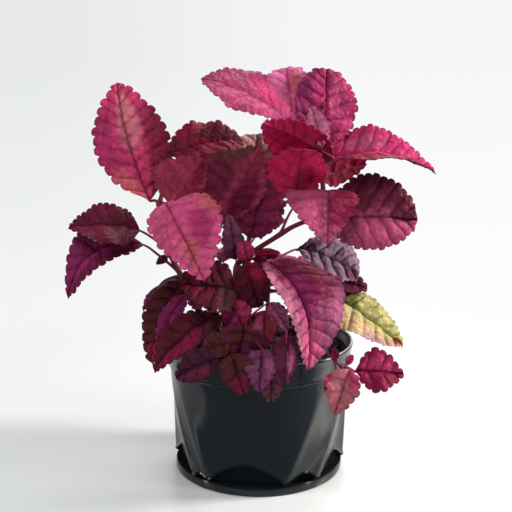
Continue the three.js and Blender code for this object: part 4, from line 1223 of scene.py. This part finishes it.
# %% Stems and stalks
HOLE_FLOOR, SOIL_GAP = 66, 0.3
STRAIGHT_BELOW, STRAIGHT_ABOVE = 3, 4
STEM_STEPS, STEM_SIDES, STEM_SQUARENESS = 90, 16, 4
STEM_TAPER = 0.4
CRIMSON_START = 0.1
SWELLING, SWELLING_REACH, MOST_SWELLING = 0.12, 0.025, 1.3
STALK_STEPS, STALK_SIDES, STALK_SQUARENESS = 24, 10, 2.4
STALK_DEPTH = -0.5
STALK_BEND = 0.55
PETIOLE_SINK = 0.16
THIN_STALK, THICK_STALK, WIDTH_PER_THICKNESS = 0.5, 1.2, 40
STALK_TAPER = 0.5
LEAF_TONE = 0.5
HEEL_SWELLING, HEEL_REACH = 0.5, 0.12


def make_stem(stem):
    """A stem's path from the floor of its hole to its top, and the stem itself."""
    depths = (HOLE_FLOOR + SOIL_GAP, SOIL_TOP - STRAIGHT_BELOW, SOIL_TOP + STRAIGHT_ABOVE)
    path = smooth_path([(*stem["foot"], height) for height in depths] + stem["path"], STEM_STEPS)
    share = np.linspace(0, 1, len(path))
    radius = stem["radius"] * (1 - STEM_TAPER * share)
    for grown in stem["leaves"]:
        swelling = np.exp(-((share - grown["at"]) / SWELLING_REACH) ** 2)
        radius = radius + SWELLING * stem["radius"] * swelling
    radius = np.minimum(radius, MOST_SWELLING * stem["radius"])
    dark = np.tile(TONES["dark_maroon"], (len(path), 1))
    tones = over(dark, TONES["crimson"], smooth(share, CRIMSON_START, 1))
    return path, make_tube("stem", path, radius, STEM_SQUARENESS, STEM_SIDES, tones)


def make_stalk(leaf, stem_path):
    """The leaf's stalk, from its place on the stem into the midrib of its blade."""
    start = stem_path[int(round(leaf["at"] * (len(stem_path) - 1)))]
    spots = np.array([0, PETIOLE_SINK * leaf["length"]])
    heel, inside = bend(leaf, spots, np.zeros(2), np.full(2, STALK_DEPTH))
    middle = start + STALK_BEND * (heel - start)
    middle[2] += leaf["crest"]
    path = smooth_path([start, middle, heel, inside], STALK_STEPS)
    share = np.linspace(0, 1, len(path))
    thickness = min(THICK_STALK, THIN_STALK + leaf["width"] / WIDTH_PER_THICKNESS)
    heel_swelling = 1 + HEEL_SWELLING * (1 - smooth(share, 0, HEEL_REACH))
    radius = thickness * (1 - STALK_TAPER * share) * heel_swelling
    red = np.tile(TONES["crimson"], (len(path), 1))
    tones = over(red, TONES[leaf["top"]], LEAF_TONE * share)
    return make_tube("stalk", path, radius, STALK_SQUARENESS, STALK_SIDES, tones)


# %% [markdown]
# A living leaf is thin, damp inside and covered in short hairs. It lets some light through, redder than it
# came, it shines softly, and its surface is a fine net of cells. The upper side is velvety and quilted. The
# underside is smoother, and stalks are smooth and juicy. One tree of nodes makes all three, with other
# amounts.

# %% The leaves' finishes
PUCKER = 3.4
NET_CELL = 1.3
STRAY_SIZE, STRAY = 6, 0.04
DOME_EDGES = (0.1, 0.65)
NET_EDGE, NET_HEIGHT = 0.3, 0.22
HIGHEST = 1.2
SPECKLE = 1.7
DIMMEST, BRIGHTEST = 0.84, 1.16
THROUGH_RED = "#ff5a72"


def leaf_finish(name, tint, roughness, shine, through, pucker_depth):
    """Living leaf skin, painted by a tint: soft shine, puckers with a fine net and painted light, light let
    through.
    """
    material, tree, out = new_finish(name)
    painted = add_node(tree, "Attribute", {"attribute_name": tint})
    place = add_node(tree, "TexCoord").outputs["UV"]
    stray = add_node(tree, "TexNoise", {"Scale": SKIN_UNIT / STRAY_SIZE, "Detail": 2.0}, {"Vector": place})
    strayed = add_node(tree, "MixRGB", {"Fac": STRAY}, {1: place, 2: stray.outputs["Color"]})
    puckers = add_node(tree, "TexVoronoi", {"feature": "SMOOTH_F1", "Scale": SKIN_UNIT / PUCKER,
                                            "Smoothness": 0.6}, {"Vector": strayed.outputs[0]})
    cells = add_node(tree, "TexVoronoi", {"feature": "DISTANCE_TO_EDGE", "Scale": SKIN_UNIT / NET_CELL},
                     {"Vector": place})
    dome = graded(tree, puckers.outputs["Distance"], *DOME_EDGES, 1.0, 0.0)
    net = graded(tree, cells.outputs["Distance"], 0.0, NET_EDGE, 0.0, NET_HEIGHT)
    height = add_node(tree, "Math", {"operation": "ADD"}, {0: dome, 1: net}).outputs[0]
    bump = add_node(tree, "Bump", {"Strength": 0.7, "Distance": pucker_depth * MM}, {"Height": height})
    speckle = noise(tree, SPECKLE, 4.0, 0.65)
    uneven = graded(tree, speckle, NOISE_LOW, NOISE_HIGH, DIMMEST, BRIGHTEST)
    # Painted light and shade: the tint is lighter on the puckers' domes and darker in the hollows and along
    # the net.
    painted_pucker_light = graded(tree, height, 0.0, HIGHEST, DIMMEST, BRIGHTEST)
    # The uneven tone times the painted light and shade on the puckers.
    tone_and_pucker_light = add_node(tree, "Math", {"operation": "MULTIPLY"}, {0: uneven, 1: painted_pucker_light}).outputs[0]
    tone = add_node(tree, "HueSaturation", links={"Color": painted.outputs["Color"], "Value": tone_and_pucker_light})
    colour = tone.outputs["Color"]
    skin = add_node(tree, "BsdfPrincipled", {"Roughness": roughness, "Specular IOR Level": shine},
                    {"Base Color": colour, "Normal": bump.outputs["Normal"]})
    redder = add_node(tree, "Mix", {"data_type": "RGBA", "blend_type": "MULTIPLY", 0: 1.0,
                                    7: (*linear(THROUGH_RED), 1)}, {6: colour})
    glow = add_node(tree, "BsdfTranslucent",
                    links={"Color": redder.outputs[2], "Normal": bump.outputs["Normal"]})
    mixed = add_node(tree, "MixShader", {"Fac": through}, {1: skin.outputs[0], 2: glow.outputs[0]})
    tree.links.new(mixed.outputs[0], out.inputs["Surface"])
    return material


UPPER_FINISH = leaf_finish("coleus_leaf_velvety_upper_side", "upper_tint",
                           roughness=0.55, shine=0.13, through=0.2, pucker_depth=0.85)
LOWER_FINISH = leaf_finish("coleus_leaf_smooth_underside", "lower_tint",
                           roughness=0.5, shine=0.1, through=0.25, pucker_depth=0.25)
STALK_FINISH = leaf_finish("coleus_stalk_smooth_skin", "upper_tint",
                           roughness=0.38, shine=0.45, through=0.1, pucker_depth=0.1)

# %% [markdown]
# A stem and its leaves grew as one piece, so each stem is joined with its stalks and blades before it takes
# its node's place. Every blade gets its own seed, which keeps it the same each time the plant is grown.

# %% Growing the ten stems
LEAFY_CREASE = 55

for order, (name, stem) in enumerate(STEMS.items()):
    path, tube = make_stem(stem)
    parts = [tube]
    for number, grown in enumerate(stem["leaves"]):
        parts.append(make_blade(grown, 100 * order + number))
        parts.append(make_stalk(grown, path))
    leafy = joined("leafy_" + name, parts, LEAFY_CREASE)
    hand_in(leafy, name)
